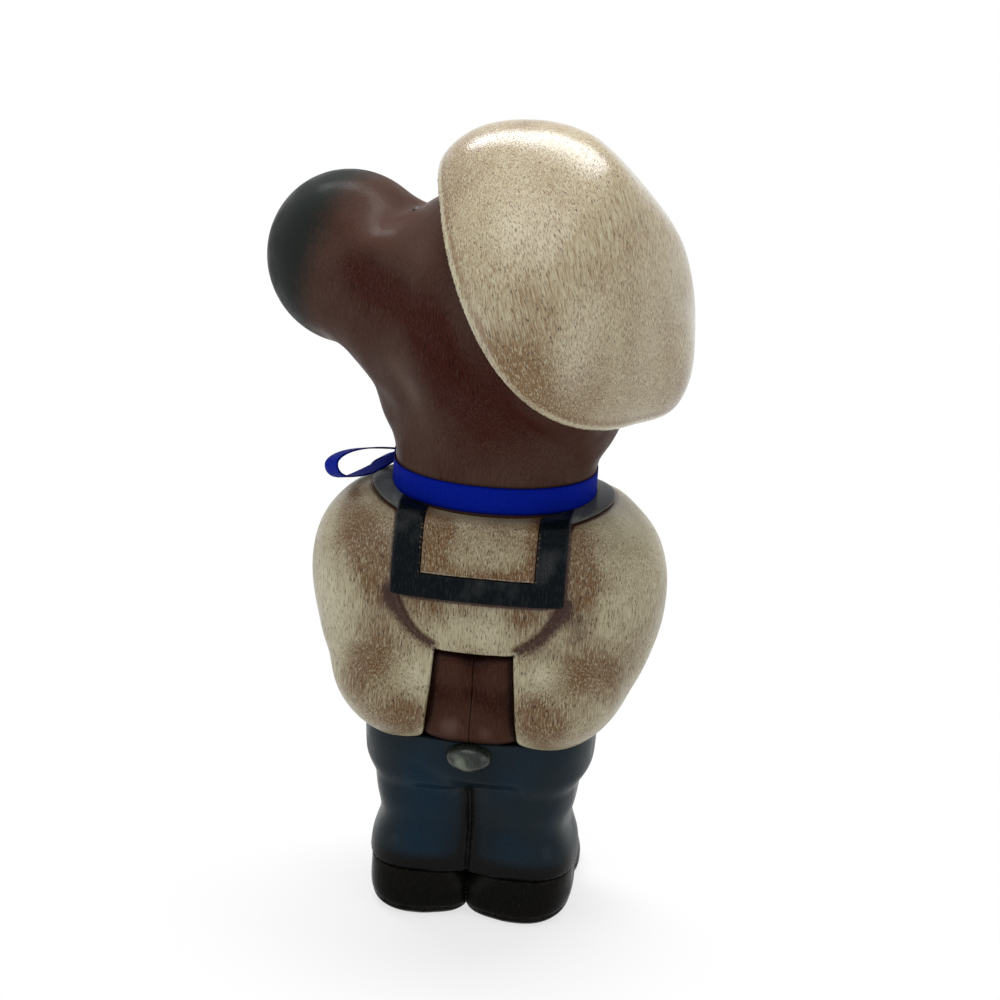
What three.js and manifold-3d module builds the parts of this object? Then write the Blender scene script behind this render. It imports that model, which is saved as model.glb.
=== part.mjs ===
// Carved and painted bear figurine in a sailor's blouse, beret and neck ribbon.
// Millimetres, +Z up. The chest faces -Y, the back +Y, and the bear's left side is +X.
// The blocks are carved apart, then seated on each other with a glue line and held by dowels.

import * as THREE from 'three';
import * as BufferGeometryUtils from 'three/addons/utils/BufferGeometryUtils.js';
import Module from 'manifold-3d';

const wasm = await Module();
wasm.setup();

// Fits
const glueLine = 0.3;
const cutOverrun = 8;
const skinTolerance = 0.002;

// The foot of the neck, which the shoulders, the collar, the head and the ribbon keep their heights to
const neckFoot = 158;

// Shoes
const shoeHeight = 18;
const shoeSpread = 19.7;
const shoeHalfWidth = 18.8;
const heelHalfDepth = 27;
const heelBack = 6;
const toeLength = 26;
const toeHeight = 17;
const toeForward = 22;
const shoeEdgeRound = 4;
const shoeSquareness = 2.4;

// Trousers
const trouserTop = 76;
const trouserHalfWidth = 44;
const seatHalfDepth = 36;
const seatBack = 1.5;
const legSpread = 19.3;
const legHalfWidth = 21;
const legHalfDepth = 26;
const legBack = 4;
const crotchHeight = 56;
const legFillet = 5;
const legSplitTop = 53;
const legSplitHalfWidth = 1.6;
const legSplitDepth = 6;
const trouserSquareness = 2.4;
const legSquareness = 2.5;

// Blouse
const blouseHem = 62;
const shoulderRise = 9;
const shoulderTop = neckFoot + shoulderRise;
const blouseHalfWidth = 64;
const blouseOverSeat = 2.5;
const blouseHalfDepth = seatHalfDepth + blouseOverSeat;
const blouseBack = 1;
const blouseFillet = 7;
const creaseFillet = 3;
const blouseSquareness = 2.4;
const sleevePuffWidth = 27;
const sleevePuffDepth = 27;
const sleevePuffHeight = 21;
const sleeveSpread = 29.5;
const sleeveBack = 18;
const sleeveLevel = 93;
const sleeveSlope = THREE.MathUtils.degToRad(36);
const shoulderPuffWidth = 19;
const shoulderPuffDepth = 27;
const shoulderPuffHeight = 27;
const shoulderSpread = 43.5;
const shoulderBack = 4;
const shoulderDrop = 28;
const shoulderLevel = neckFoot - shoulderDrop;
const shoulderTilt = 2;
const spineBulgeWidth = 24;
const spineBulgeDepth = 30;
const spineBulgeHeight = 17;
const spineBulgeBack = 11.5;
const spineBulgeDrop = 39;
const spineBulgeLevel = neckFoot - spineBulgeDrop;

// Clasped paws and the recess that they are let into
const pawTop = 112.5;
const pawBottom = trouserTop + glueLine;
const pawTopHalfWidth = 14.2;
const pawBottomHalfWidth = 17.2;
const pawProud = 3;
const pawDepth = 14.5;
const pawFace = blouseHalfDepth + pawProud;
const pawRecessFloor = pawFace - pawDepth;
const pawRound = 5;
const pawWideShare = 0.7;
const pawSquareness = 4;

// Sailor collar
const collarProud = 2.6;
const yokeHalfWidth = 44.5;
const yokeHalfDepth = 36;
const flapHalfWidth = 31;
const flapDrop = 25.5;
const flapBottom = neckFoot - flapDrop;
const flapBorder = 10.4;
const flapBottomBorder = 8.8;
const lapelDrop = 46;
const lapelPoint = neckFoot - lapelDrop;
const lapelBorder = 11;
const yokeDrop = 12;
const collarUnderside = neckFoot - yokeDrop;
const collarLip = 3.5;

// Neck, head and muzzle; the head is turned to the bear's left and lifted
const neckHalfWidth = 36.4;
const neckHalfDepth = 28.6;
const neckLength = 38;
const neckTop = neckFoot + neckLength;
const neckSquareness = 2.1;
const headTurn = THREE.MathUtils.degToRad(67);
const skullForward = -5;
const skullRise = 69;
const skullLevel = neckFoot + skullRise;
const skullHalfWidth = 42;
const skullHalfLength = 55;
const skullHalfHeight = 48.5;
const muzzleForward = 65;
const muzzleRise = 78;
const muzzleLevel = neckFoot + muzzleRise;
const muzzleHalfWidth = 29;
const muzzleHalfLength = 32;
const muzzleHalfHeight = 32;
const jawForward = 29;
const jawRise = 55;
const jawLevel = neckFoot + jawRise;
const jawRadius = 25;
const cheekAside = 14;
const cheekForward = 40;
const cheekRise = 68;
const cheekLevel = neckFoot + cheekRise;
const cheekHalfWidth = 17;
const cheekHalfLength = 26;
const cheekHalfHeight = 20;
const headFillet = 12;
const browFillet = 5;

// Beret, tilted back and a little to one side
const capX = -16;
const capY = 8;
const capLift = 82.8;
const capZ = neckFoot + capLift;
const capHeading = THREE.MathUtils.degToRad(28);
const capPitch = THREE.MathUtils.degToRad(44.8);
const capHalfLength = 57.9;
const capHalfWidth = 49.8;
const capRise = 45.5;
const capEdge = 2.2;
const capSquareness = 2.12;
const capFullness = 1.6;
const capEggShare = 0.36;
const capLeanUpShare = 0.33;
const capLeanAsideShare = -0.2;

// Eyes, tail and dowels
const eyeRadius = 2.4;
const eyeSink = 1.6;
const eyeStemRadius = 1.3;
const eyeStemLength = 9;
const eyeAsideShare = 0.1;
const eyeUpShare = 0.8;
const tailHalfWidth = 8.6;
const tailHalfDepth = 6;
const tailHalfHeight = 5.4;
const tailLevel = 70.8;
const tailPegRadius = 2.5;
const tailPegLength = 14;
const neckDowelRadius = 6;
const neckDowelLength = 36;
const capDowelRadius = 5;
const capDowelLength = 30;
const waistDowelRadius = 4;
const waistDowelLength = 28;
const waistDowelSpread = 22;
const shoeDowelRadius = 3;
const shoeDowelLength = 20;
const dowelEndRoom = 1;

// Neck ribbon, one length of ribbon tied in a bow
const ribbonWidth = 10;
const ribbonThickness = 0.8;
const ribbonRise = 4;
const ribbonLow = neckFoot + ribbonRise;
const ribbonGap = 0.35;
const knotAngle = THREE.MathUtils.degToRad(-20);
const knotHalfWidth = 4.4;
const knotHalfHeight = 5.2;
const knotHalfDepth = 2.4;
const knotRise = 6.5;
const knotLevel = ribbonLow + knotRise;
const loopHalfLength = 13.5;
const loopHalfHeight = 4.2;
const loopOpening = THREE.MathUtils.degToRad(160);
const loopDroop = THREE.MathUtils.degToRad(17);
const loopHeadings = [THREE.MathUtils.degToRad(45), THREE.MathUtils.degToRad(-75)];
const loopRootShare = 0.35;
const hangLength = 44;
const hangEnd = ribbonLow - hangLength;
const hangRoom = 0.45;
const hangForward = 25.5;
const hangSpread = THREE.MathUtils.degToRad(14);
const frontHang = -Math.atan2(hangForward, flapHalfWidth + ribbonWidth / 2 + hangRoom);
const hangAngles = [frontHang + hangSpread, frontHang];
const hangLeans = [THREE.MathUtils.degToRad(-4), THREE.MathUtils.degToRad(-5)];
const hangTopDrop = 4.5;

// Rings and sides of each block's skin, and steps along and across each flat piece of ribbon
const facets = {
  trousers: [17, 42],
  blouse: [24, 46],
  head: [32, 34],
  neck: [12, 40],
  paw: [14, 24],
  tail: [10, 14],
  shoe: [14, 30],
  knot: [8, 12],
  band: [48, 1],
  end: [4, 10],
};

const wood = {
  cream: new THREE.MeshStandardMaterial({ color: 0xa8946f, roughness: 0.45, metalness: 0 }),
  navy: new THREE.MeshStandardMaterial({ color: 0x1f2a33, roughness: 0.4, metalness: 0 }),
  trouser: new THREE.MeshStandardMaterial({ color: 0x27343a, roughness: 0.4, metalness: 0 }),
  brown: new THREE.MeshStandardMaterial({ color: 0x3f2a22, roughness: 0.4, metalness: 0 }),
  black: new THREE.MeshStandardMaterial({ color: 0x141514, roughness: 0.3, metalness: 0 }),
  bare: new THREE.MeshStandardMaterial({ color: 0xc9a87a, roughness: 0.8, metalness: 0 }),
};
const ribbonCloth = new THREE.MeshStandardMaterial({ color: 0x0a1a8c, roughness: 0.8, metalness: 0 });

const at = (x, y, z) => new THREE.Vector3(x, y, z);
const upright = at(0, 0, 1);
const noTurn = new THREE.Quaternion();
const aboutZ = (angle) => new THREE.Quaternion().setFromAxisAngle(upright, angle);
const aboutY = (angle) => new THREE.Quaternion().setFromAxisAngle(at(0, 1, 0), angle);
const headWay = aboutZ(headTurn);
const onHead = (aside, forward, level) => at(aside, -forward, level).applyQuaternion(headWay);

// An egg as a measure: below zero inside, and about the distance in millimetres near its skin.
function egg(centre, radii, turn = noTurn) {
  const back = turn.clone().invert();
  const local = at(0, 0, 0);
  return (point) => {
    local.copy(point).sub(centre).applyQuaternion(back).divide(radii);
    const near = local.length();
    const slope = local.divide(radii).length();
    return slope > 0 ? near * (near - 1) / slope : -Math.min(radii.x, radii.y, radii.z);
  };
}

// A block with an oval plan that changes with height. A row is a height, half width, half
// depth and middle of the depth; the squareness is 2 for a true oval and more for a fuller one.
function ovalBlock(rows, squareness, middle = 0) {
  const values = rows.flatMap((row) => row.slice(1));
  const track = new THREE.CubicInterpolant(rows.map((row) => row[0]), values, 3);
  return (point) => {
    const [halfWidth, halfDepth, back] = track.evaluate(point.z);
    const aside = (Math.abs(point.x - middle) / halfWidth) ** squareness;
    const deep = (Math.abs(point.y - back) / halfDepth) ** squareness;
    return ((aside + deep) ** (1 / squareness) - 1) * Math.min(halfWidth, halfDepth);
  };
}

// Soft union: forms run into each other with a fillet of about this radius.
function joined(fillet, ...forms) {
  return (point) => forms.map((form) => form(point)).reduce((first, second) => {
    const share = Math.max(fillet - Math.abs(first - second), 0) / fillet;
    return Math.min(first, second) - share * share * fillet / 4;
  });
}

// The part of a form between two heights, with edges rounded by about this radius. The upper
// cut can be dished: `dish` gives how far it rises at a point.
function between(form, low, high, edge, dish = () => 0) {
  return (point) => {
    const flat = Math.max(low - point.z, point.z - high - dish(point));
    const side = form(point);
    const share = Math.max(edge - Math.abs(flat - side), 0) / edge;
    return Math.max(flat, side) + share * share * edge / 4;
  };
}

const grown = (form, by) => (point) => form(point) - by;
const mirrored = (x) => [1, -1].map((side) => side * x);

// Distance from a point inside to the form's skin along a direction.
function castOut(form, from, way) {
  const probe = at(0, 0, 0);
  let reach = 0;
  for (let step = 0; step < 80; step += 1) {
    const inside = -form(probe.copy(from).addScaledVector(way, reach));
    reach += inside;
    if (Math.abs(inside) < skinTolerance) break;
  }
  return reach;
}

function closedSurface(points, faces) {
  const geometry = new THREE.BufferGeometry();
  geometry.setAttribute('position', new THREE.Float32BufferAttribute(points.flatMap((p) => p.toArray()), 3));
  geometry.setIndex(faces.flat());
  return geometry;
}

// Closed skin of a form. Rays leave the spine from `low` to `high` all round, fanning from one
// end's pole to the other's, and each stops at the form's skin.
function skinOf(form, low, high, rings, sides) {
  const axis = high.clone().sub(low).normalize();
  const across = at(1, 0, 0).cross(axis).normalize();
  const aside = axis.clone().cross(across);
  const hit = (from, way) => from.clone().addScaledVector(way, castOut(form, from, way));
  const points = [hit(low, axis.clone().negate())];
  for (let ring = 1; ring < rings; ring += 1) {
    const share = ring / rings;
    const tilt = (share - 1 / 2) * Math.PI;
    const from = low.clone().lerp(high, share);
    for (let side = 0; side < sides; side += 1) {
      const round = 2 * Math.PI * side / sides;
      const way = across.clone().multiplyScalar(Math.cos(round)).addScaledVector(aside, Math.sin(round));
      way.multiplyScalar(Math.cos(tilt)).addScaledVector(axis, Math.sin(tilt));
      points.push(hit(from, way));
    }
  }
  points.push(hit(high, axis));
  const last = points.length - 1;
  const faces = [];
  for (let side = 0; side < sides; side += 1) {
    const next = (side + 1) % sides;
    faces.push([0, 1 + next, 1 + side]);
    faces.push([last, last - sides + side, last - sides + next]);
    for (let ring = 0; ring < rings - 2; ring += 1) {
      const base = 1 + ring * sides;
      faces.push([base + side, base + next, base + sides + next]);
      faces.push([base + side, base + sides + next, base + sides + side]);
    }
  }
  return closedSurface(points, faces);
}

// A thin veneer that lies on a form: `place` gives the ray of each point of its grid.
function veneer(form, place, columns, rows, gap, thickness, isRing = false) {
  const span = isRing ? columns : columns + 1;
  const points = [];
  for (const lift of [gap, gap + thickness]) {
    for (let row = 0; row <= rows; row += 1) {
      for (let column = 0; column < span; column += 1) {
        const { from, way } = place(column / columns, row / rows);
        points.push(from.clone().addScaledVector(way, castOut(form, from, way) + lift));
      }
    }
  }
  const layer = span * (rows + 1);
  const spot = (level, column, row) => level * layer + row * span + column % span;
  const faces = [];
  const quad = (a, b, c, d) => faces.push([a, b, c], [a, c, d]);
  for (let column = 0; column < columns; column += 1) {
    for (let row = 0; row < rows; row += 1) {
      const [next, above] = [column + 1, row + 1];
      quad(spot(1, column, row), spot(1, next, row), spot(1, next, above), spot(1, column, above));
      quad(spot(0, column, row), spot(0, column, above), spot(0, next, above), spot(0, next, row));
    }
    quad(spot(0, column, 0), spot(0, column + 1, 0), spot(1, column + 1, 0), spot(1, column, 0));
    quad(spot(0, column, rows), spot(1, column, rows), spot(1, column + 1, rows), spot(0, column + 1, rows));
  }
  if (!isRing) {
    for (let row = 0; row < rows; row += 1) {
      const above = row + 1;
      quad(spot(0, 0, row), spot(1, 0, row), spot(1, 0, above), spot(0, 0, above));
      quad(spot(0, columns, row), spot(0, columns, above), spot(1, columns, above), spot(1, columns, row));
    }
  }
  return closedSurface(points, faces);
}

function solid(geometry) {
  const bare = geometry.clone();
  bare.deleteAttribute('normal');
  bare.deleteAttribute('uv');
  const merged = BufferGeometryUtils.mergeVertices(bare);
  return new wasm.Manifold(new wasm.Mesh({
    numProp: 3,
    vertProperties: new Float32Array(merged.attributes.position.array),
    triVerts: new Uint32Array(merged.index.array),
  }));
}

function surfaceOf(manifold) {
  const mesh = manifold.getMesh();
  const geometry = new THREE.BufferGeometry();
  geometry.setAttribute('position', new THREE.BufferAttribute(new Float32Array(mesh.vertProperties), 3));
  geometry.setIndex(new THREE.BufferAttribute(new Uint32Array(mesh.triVerts), 1));
  return geometry;
}

function block(low, high) {
  const size = high.clone().sub(low);
  const geometry = new THREE.BoxGeometry(size.x, size.y, size.z);
  geometry.translate(...low.clone().add(high).divideScalar(2).toArray());
  return solid(geometry);
}

// Round rod centred on a point, with its length along a direction.
function rod(centre, way, radius, length, sides = 20) {
  const geometry = new THREE.CylinderGeometry(radius, radius, length, sides);
  geometry.applyQuaternion(new THREE.Quaternion().setFromUnitVectors(at(0, 1, 0), way));
  geometry.translate(...centre.toArray());
  return geometry;
}

const drill = (centre, way, radius, length) => solid(
  rod(centre, way, radius + glueLine, length + 2 * dowelEndRoom),
);

const figure = new THREE.Group();
function add(name, shape, material) {
  const geometry = shape.isBufferGeometry ? shape : surfaceOf(shape);
  const mesh = new THREE.Mesh(geometry, material);
  mesh.name = name;
  figure.add(mesh);
}

// Bounds that every block fits in, for flat cuts
const reachAside = 2 * blouseHalfWidth;
const reachUp = 2 * shoulderTop;
const slab = (low, high) => block(at(-reachAside, -reachAside, low), at(reachAside, reachAside, high));

// Trousers: a hip block that divides into two flared legs, cut flat at the hem and at the top.
const trouserRowShares = [
  [0.2, 0.8, 0.7], [0.55, 0.93, 0.86], [0.75, 0.98, 0.98], [0.9, 1, 1], [1.15, 0.95, 0.98],
];
const hips = between(ovalBlock(
  trouserRowShares.map(([level, wide, deep]) => [
    level * trouserTop, wide * trouserHalfWidth, deep * seatHalfDepth, seatBack,
  ]),
  trouserSquareness,
), crotchHeight, trouserTop + cutOverrun, legFillet);
const legRowShares = [
  [-0.1, 0.97, 1.02], [0.2, 0.98, 1.02], [0.3, 0.9, 0.98],
  [0.42, 0.84, 0.92], [0.6, 0.9, 1.02], [0.9, 1, 1.1],
];
const legs = [...mirrored(legSpread), 0].map((middle) => between(ovalBlock(
  legRowShares.map(([level, wide, deep]) => [
    level * trouserTop, wide * legHalfWidth, deep * legHalfDepth, legBack,
  ]),
  legSquareness,
  middle,
), -cutOverrun, trouserTop, legFillet));
const trouserForm = joined(legFillet, hips, ...legs);
const trouserSkin = (clearance) => skinOf(
  grown(trouserForm, clearance),
  at(0, seatBack, shoeHeight - cutOverrun / 2),
  at(0, seatBack, trouserTop),
  ...facets.trousers,
);

// Blouse with puffed sleeves that come round to the back
const blouseRowShares = [
  [0, 0.63, 0.84], [0.03, 0.66, 0.88], [0.08, 0.71, 0.94], [0.16, 0.785, 0.99], [0.25, 0.865, 1.02],
  [0.37, 0.94, 1.03], [0.48, 0.985, 1.02], [0.6, 1, 1.01], [0.71, 0.99, 0.99], [0.81, 0.94, 0.95],
  [0.89, 0.84, 0.89], [0.94, 0.74, 0.83], [0.98, 0.62, 0.74], [1, 0.5, 0.62],
];
// The neckline is low at the back and rises at the sides, where the collar makes a lip.
const collarTop = ribbonLow - ribbonGap;
const neckline = collarTop - collarProud - glueLine;
const lipRise = (point) => collarLip * Math.min(1, Math.abs(point.x) / yokeHalfWidth) ** 3;
const torso = between(ovalBlock(
  blouseRowShares.map(([level, wide, deep]) => [
    blouseHem + level * (shoulderTop - blouseHem), wide * blouseHalfWidth, deep * blouseHalfDepth, blouseBack,
  ]),
  blouseSquareness,
), blouseHem, neckline, blouseFillet / 2, lipRise);
const forearms = mirrored(1).map((side) => egg(
  at(side * sleeveSpread, sleeveBack, sleeveLevel),
  at(sleevePuffWidth, sleevePuffDepth, sleevePuffHeight),
  aboutY(-side * sleeveSlope),
));
const shoulders = mirrored(1).map((side) => egg(
  at(side * shoulderSpread, shoulderBack, shoulderLevel + side * shoulderTilt),
  at(shoulderPuffWidth, shoulderPuffDepth, shoulderPuffHeight),
));
const spineBulge = egg(
  at(0, spineBulgeBack, spineBulgeLevel),
  at(spineBulgeWidth, spineBulgeDepth, spineBulgeHeight),
);
const blouseForm = joined(creaseFillet, joined(blouseFillet, torso, ...shoulders), ...forearms, spineBulge);
const blouseSkin = (clearance) => skinOf(
  grown(blouseForm, clearance),
  at(0, blouseBack, blouseHem + blouseFillet),
  at(0, blouseBack, neckline - blouseFillet),
  ...facets.blouse,
);

// Head: skull, jaw and a big round muzzle on a thick oval neck
const neckRoot = neckFoot - 2 * headFillet;
const neckRows = [[neckRoot, neckHalfWidth, neckHalfDepth, 0], [neckTop, neckHalfWidth, neckHalfDepth, 0]];
const neck = between(ovalBlock(neckRows, neckSquareness), neckRoot, neckTop, headFillet);
const skull = egg(
  onHead(0, skullForward, skullLevel),
  at(skullHalfWidth, skullHalfLength, skullHalfHeight),
  headWay,
);
const jaw = egg(onHead(0, jawForward, jawLevel), at(jawRadius, jawRadius, jawRadius));
const muzzle = egg(
  onHead(0, muzzleForward, muzzleLevel),
  at(muzzleHalfWidth, muzzleHalfLength, muzzleHalfHeight),
  headWay,
);
const cheeks = mirrored(cheekAside).map((aside) => egg(
  onHead(aside, cheekForward, cheekLevel),
  at(cheekHalfWidth, cheekHalfLength, cheekHalfHeight),
  headWay,
));
const headForm = joined(browFillet, joined(headFillet, neck, skull, jaw, ...cheeks), muzzle);

// The beret's own frame: its axis leans back and to one side
const capCentre = at(capX, capY, capZ);
const capAxis = at(
  -Math.cos(capPitch) * Math.cos(capHeading),
  Math.cos(capPitch) * Math.sin(capHeading),
  Math.sin(capPitch),
);
const capUp = upright.clone().addScaledVector(capAxis, -capAxis.z).normalize();
const capAside = capAxis.clone().cross(capUp);
const capFrame = new THREE.Matrix4().makeBasis(capUp, capAside, capAxis).setPosition(capCentre);
const aboveCrown = block(
  at(-reachAside, -reachAside, -glueLine),
  at(reachAside, reachAside, reachAside),
).transform(capFrame.toArray());

const neckDowelCentre = at(0, 0, neckFoot);
const capDowelCentre = capCentre.clone();
const headCore = solid(skinOf(
  headForm,
  at(0, 0, neckFoot + cutOverrun),
  onHead(0, muzzleForward, muzzleLevel),
  ...facets.head,
));

// Eyes sit in small sockets on the front of the brow
const stemSides = 8;
const eyes = mirrored(eyeAsideShare).map((aside) => {
  const from = onHead(0, skullForward, skullLevel);
  const way = at(aside, -1, eyeUpShare).normalize().applyQuaternion(headWay);
  const place = from.clone().addScaledVector(way, castOut(headForm, from, way) - eyeSink);
  return { place, way };
});
function eyeSolid({ place, way }, clearance) {
  const ball = new THREE.SphereGeometry(eyeRadius + clearance, 12, 8);
  ball.translate(...place.toArray());
  const stemCentre = place.clone().addScaledVector(way, -eyeStemLength / 2);
  const stem = rod(stemCentre, way, eyeStemRadius + clearance, eyeStemLength + 2 * clearance, stemSides);
  return solid(ball).add(solid(stem));
}

let head = headCore
  .intersect(slab(neckFoot, reachUp))
  .subtract(aboveCrown)
  .subtract(drill(neckDowelCentre, upright, neckDowelRadius, neckDowelLength))
  .subtract(drill(capDowelCentre, capAxis, capDowelRadius, capDowelLength));
for (const eye of eyes) head = head.subtract(eyeSolid(eye, glueLine));
add('head', head, wood.brown);
add('left_eye', eyeSolid(eyes[0], 0), wood.black);
add('right_eye', eyeSolid(eyes[1], 0), wood.black);

// Beret: a full dome over a flat underside, with a thin upright edge
function beret() {
  const domeSteps = 9;
  const sides = 40;
  const profile = [];
  for (let step = 0; step <= domeSteps; step += 1) {
    const angle = step / domeSteps * Math.PI / 2;
    const height = capRise * Math.cos(angle) ** (2 / capFullness);
    profile.push([Math.sin(angle) ** (2 / capFullness), capEdge + height]);
  }
  profile.push([1, 0]);
  const points = [at(capLeanUpShare * capRise, capLeanAsideShare * capRise, capEdge + capRise)];
  for (const [share, height] of profile.slice(1)) {
    for (let side = 0; side < sides; side += 1) {
      const round = 2 * Math.PI * side / sides;
      const long = Math.sign(Math.cos(round)) * Math.abs(Math.cos(round)) ** (2 / capSquareness);
      const wide = Math.sign(Math.sin(round)) * Math.abs(Math.sin(round)) ** (2 / capSquareness);
      const egg = 1 - capEggShare * long;
      const lift = Math.max(height - capEdge, 0);
      points.push(at(
        share * capHalfLength * long + capLeanUpShare * lift,
        share * capHalfWidth * wide * egg + capLeanAsideShare * lift,
        height,
      ));
    }
  }
  points.push(at(0, 0, 0));
  const last = points.length - 1;
  const faces = [];
  for (let side = 0; side < sides; side += 1) {
    const next = (side + 1) % sides;
    faces.push([0, 1 + side, 1 + next]);
    faces.push([last, last - sides + next, last - sides + side]);
    for (let ring = 0; ring < profile.length - 2; ring += 1) {
      const base = 1 + ring * sides;
      faces.push([base + side, base + sides + side, base + sides + next]);
      faces.push([base + side, base + sides + next, base + next]);
    }
  }
  return solid(closedSurface(points, faces)).transform(capFrame.toArray());
}
add('beret', beret().subtract(drill(capDowelCentre, capAxis, capDowelRadius, capDowelLength)), wood.cream);

// The tail is a turned nub with a peg; it is let into the seat and under the blouse's edge.
const tailFrom = at(0, 0, tailLevel);
const tailWay = at(0, 1, 0);
const tailPlace = at(0, castOut(trouserForm, tailFrom, tailWay), tailLevel);
function tailSolid(clearance) {
  const nub = skinOf(
    grown(egg(tailPlace, at(tailHalfWidth, tailHalfDepth, tailHalfHeight)), clearance),
    tailPlace.clone().addScaledVector(upright, -tailHalfHeight / 2),
    tailPlace.clone().addScaledVector(upright, tailHalfHeight / 2),
    ...facets.tail,
  );
  const peg = rod(tailPlace.clone().addScaledVector(tailWay, -tailPegLength / 2), tailWay,
    tailPegRadius + clearance, tailPegLength + 2 * clearance, 12);
  return solid(nub).add(solid(peg));
}

// Blouse block, hollowed for the neck, the trouser top, the tail, the paws and the dowels
const neckPocket = solid(skinOf(
  grown(headForm, glueLine),
  at(0, 0, neckFoot - cutOverrun / 2),
  at(0, 0, neckTop - headFillet),
  ...facets.neck,
)).intersect(slab(neckFoot - glueLine, reachUp));
const trouserPocket = solid(trouserSkin(glueLine)).intersect(slab(0, trouserTop + glueLine));

function pawPrism(low, high, topHalf, bottomHalf, front, back) {
  const outline = new THREE.Shape([
    new THREE.Vector2(-bottomHalf, low),
    new THREE.Vector2(bottomHalf, low),
    new THREE.Vector2(topHalf, high),
    new THREE.Vector2(-topHalf, high),
  ]);
  const geometry = new THREE.ExtrudeGeometry(outline, { depth: back - front, bevelEnabled: false });
  geometry.rotateX(Math.PI / 2);
  geometry.translate(0, back, 0);
  return solid(geometry);
}
const pawRecess = pawPrism(
  pawBottom, pawTop, pawTopHalfWidth, pawBottomHalfWidth, pawRecessFloor, reachAside,
);
const waistDowels = mirrored(waistDowelSpread).map((x) => at(x, seatBack, trouserTop));

// Everything that stands on the blouse's shoulders is bounded by these outlines.
function planPrism(halfWidth, halfDepth, low, high) {
  const oval = new THREE.Shape().absellipse(0, blouseBack, halfWidth, halfDepth, 0, 2 * Math.PI);
  const geometry = new THREE.ExtrudeGeometry(oval, {
    depth: high - low, bevelEnabled: false, curveSegments: 40,
  });
  geometry.translate(0, 0, low);
  return solid(geometry);
}
function wallPrism(corners, front, back) {
  const outline = new THREE.Shape(corners.map(([x, z]) => new THREE.Vector2(x, z)));
  const geometry = new THREE.ExtrudeGeometry(outline, { depth: back - front, bevelEnabled: false });
  geometry.rotateX(Math.PI / 2);
  geometry.translate(0, back, 0);
  return solid(geometry);
}
const yoke = planPrism(yokeHalfWidth, yokeHalfDepth, collarUnderside, reachUp);
const flap = wallPrism([
  [-flapHalfWidth, flapBottom], [flapHalfWidth, flapBottom],
  [flapHalfWidth, collarTop], [-flapHalfWidth, collarTop],
], 0, reachAside);
const lapels = wallPrism([
  [0, lapelPoint], [flapHalfWidth, collarUnderside], [flapHalfWidth, collarTop], [-flapHalfWidth, collarTop],
  [-flapHalfWidth, collarUnderside],
], -reachAside, 0);
const panelHalfWidth = flapHalfWidth - flapBorder;
const panelBottom = flapBottom + flapBottomBorder;
const panelOpening = wallPrism([
  [-panelHalfWidth, panelBottom], [panelHalfWidth, panelBottom],
  [panelHalfWidth, reachUp], [-panelHalfWidth, reachUp],
], 0, reachAside);
const lapelOpening = wallPrism([
  [0, lapelPoint + lapelBorder], [flapHalfWidth - lapelBorder, collarUnderside],
  [flapHalfWidth - lapelBorder, reachUp], [lapelBorder - flapHalfWidth, reachUp],
  [lapelBorder - flapHalfWidth, collarUnderside],
], -reachAside, 0);
const shellOn = solid(blouseSkin(collarProud + glueLine)).subtract(solid(blouseSkin(glueLine)));
const ribbonRoom = solid(skinOf(
  grown(neck, ribbonGap + ribbonThickness + ribbonGap),
  at(0, 0, neckFoot),
  at(0, 0, neckTop - headFillet),
  ...facets.neck,
)).intersect(slab(collarTop, reachUp)).add(neckPocket);
const collar = shellOn
  .intersect(yoke.add(flap).add(lapels))
  .subtract(panelOpening)
  .subtract(lapelOpening)
  .subtract(ribbonRoom);
const panel = shellOn
  .intersect(panelOpening)
  .intersect(wallPrism([
    [glueLine - panelHalfWidth, panelBottom + glueLine], [panelHalfWidth - glueLine, panelBottom + glueLine],
    [panelHalfWidth - glueLine, collarTop], [glueLine - panelHalfWidth, collarTop],
  ], 0, reachAside))
  .subtract(ribbonRoom);

let blouse = solid(blouseSkin(0))
  .subtract(neckPocket)
  .subtract(trouserPocket)
  .subtract(pawRecess)
  .subtract(tailSolid(glueLine))
  .subtract(drill(neckDowelCentre, upright, neckDowelRadius, neckDowelLength));
const waistHole = (place) => drill(place, upright, waistDowelRadius, waistDowelLength);
for (const place of waistDowels) blouse = blouse.subtract(waistHole(place));
add('blouse', blouse, wood.cream);
add('sailor_collar', collar, wood.navy);
add('collar_panel', panel, wood.cream);

// Clasped paws, two rounded blocks side by side in the recess
for (const side of [1, -1]) {
  const half = pawPrism(
    pawBottom + glueLine, pawTop - glueLine, pawTopHalfWidth - glueLine, pawBottomHalfWidth - glueLine,
    pawRecessFloor + glueLine, pawFace + cutOverrun,
  ).intersect(block(
    at(side > 0 ? glueLine / 2 : -reachAside, 0, 0),
    at(side > 0 ? reachAside : -glueLine / 2, reachAside, reachUp),
  ));
  const middle = side * pawTopHalfWidth / 2;
  const rounding = between(ovalBlock(
    [pawBottom, pawTop].map((level) => [
      level, pawBottomHalfWidth * pawWideShare, pawFace - pawRecessFloor, pawRecessFloor,
    ]),
    pawSquareness,
    middle,
  ), pawBottom, pawTop, pawRound);
  const spineLow = at(middle, pawRecessFloor, pawBottom + pawRound);
  const spineHigh = at(middle, pawRecessFloor, pawTop - pawRound);
  const cover = solid(skinOf(rounding, spineLow, spineHigh, ...facets.paw));
  add(side > 0 ? 'left_paw' : 'right_paw', half.intersect(cover), wood.brown);
}

// Trousers with the dowel holes and the tail's socket
const shoeDowels = mirrored(shoeSpread).map((x) => at(x, legBack, shoeHeight));
const shoeHole = (place) => drill(place, upright, shoeDowelRadius, shoeDowelLength);
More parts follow.
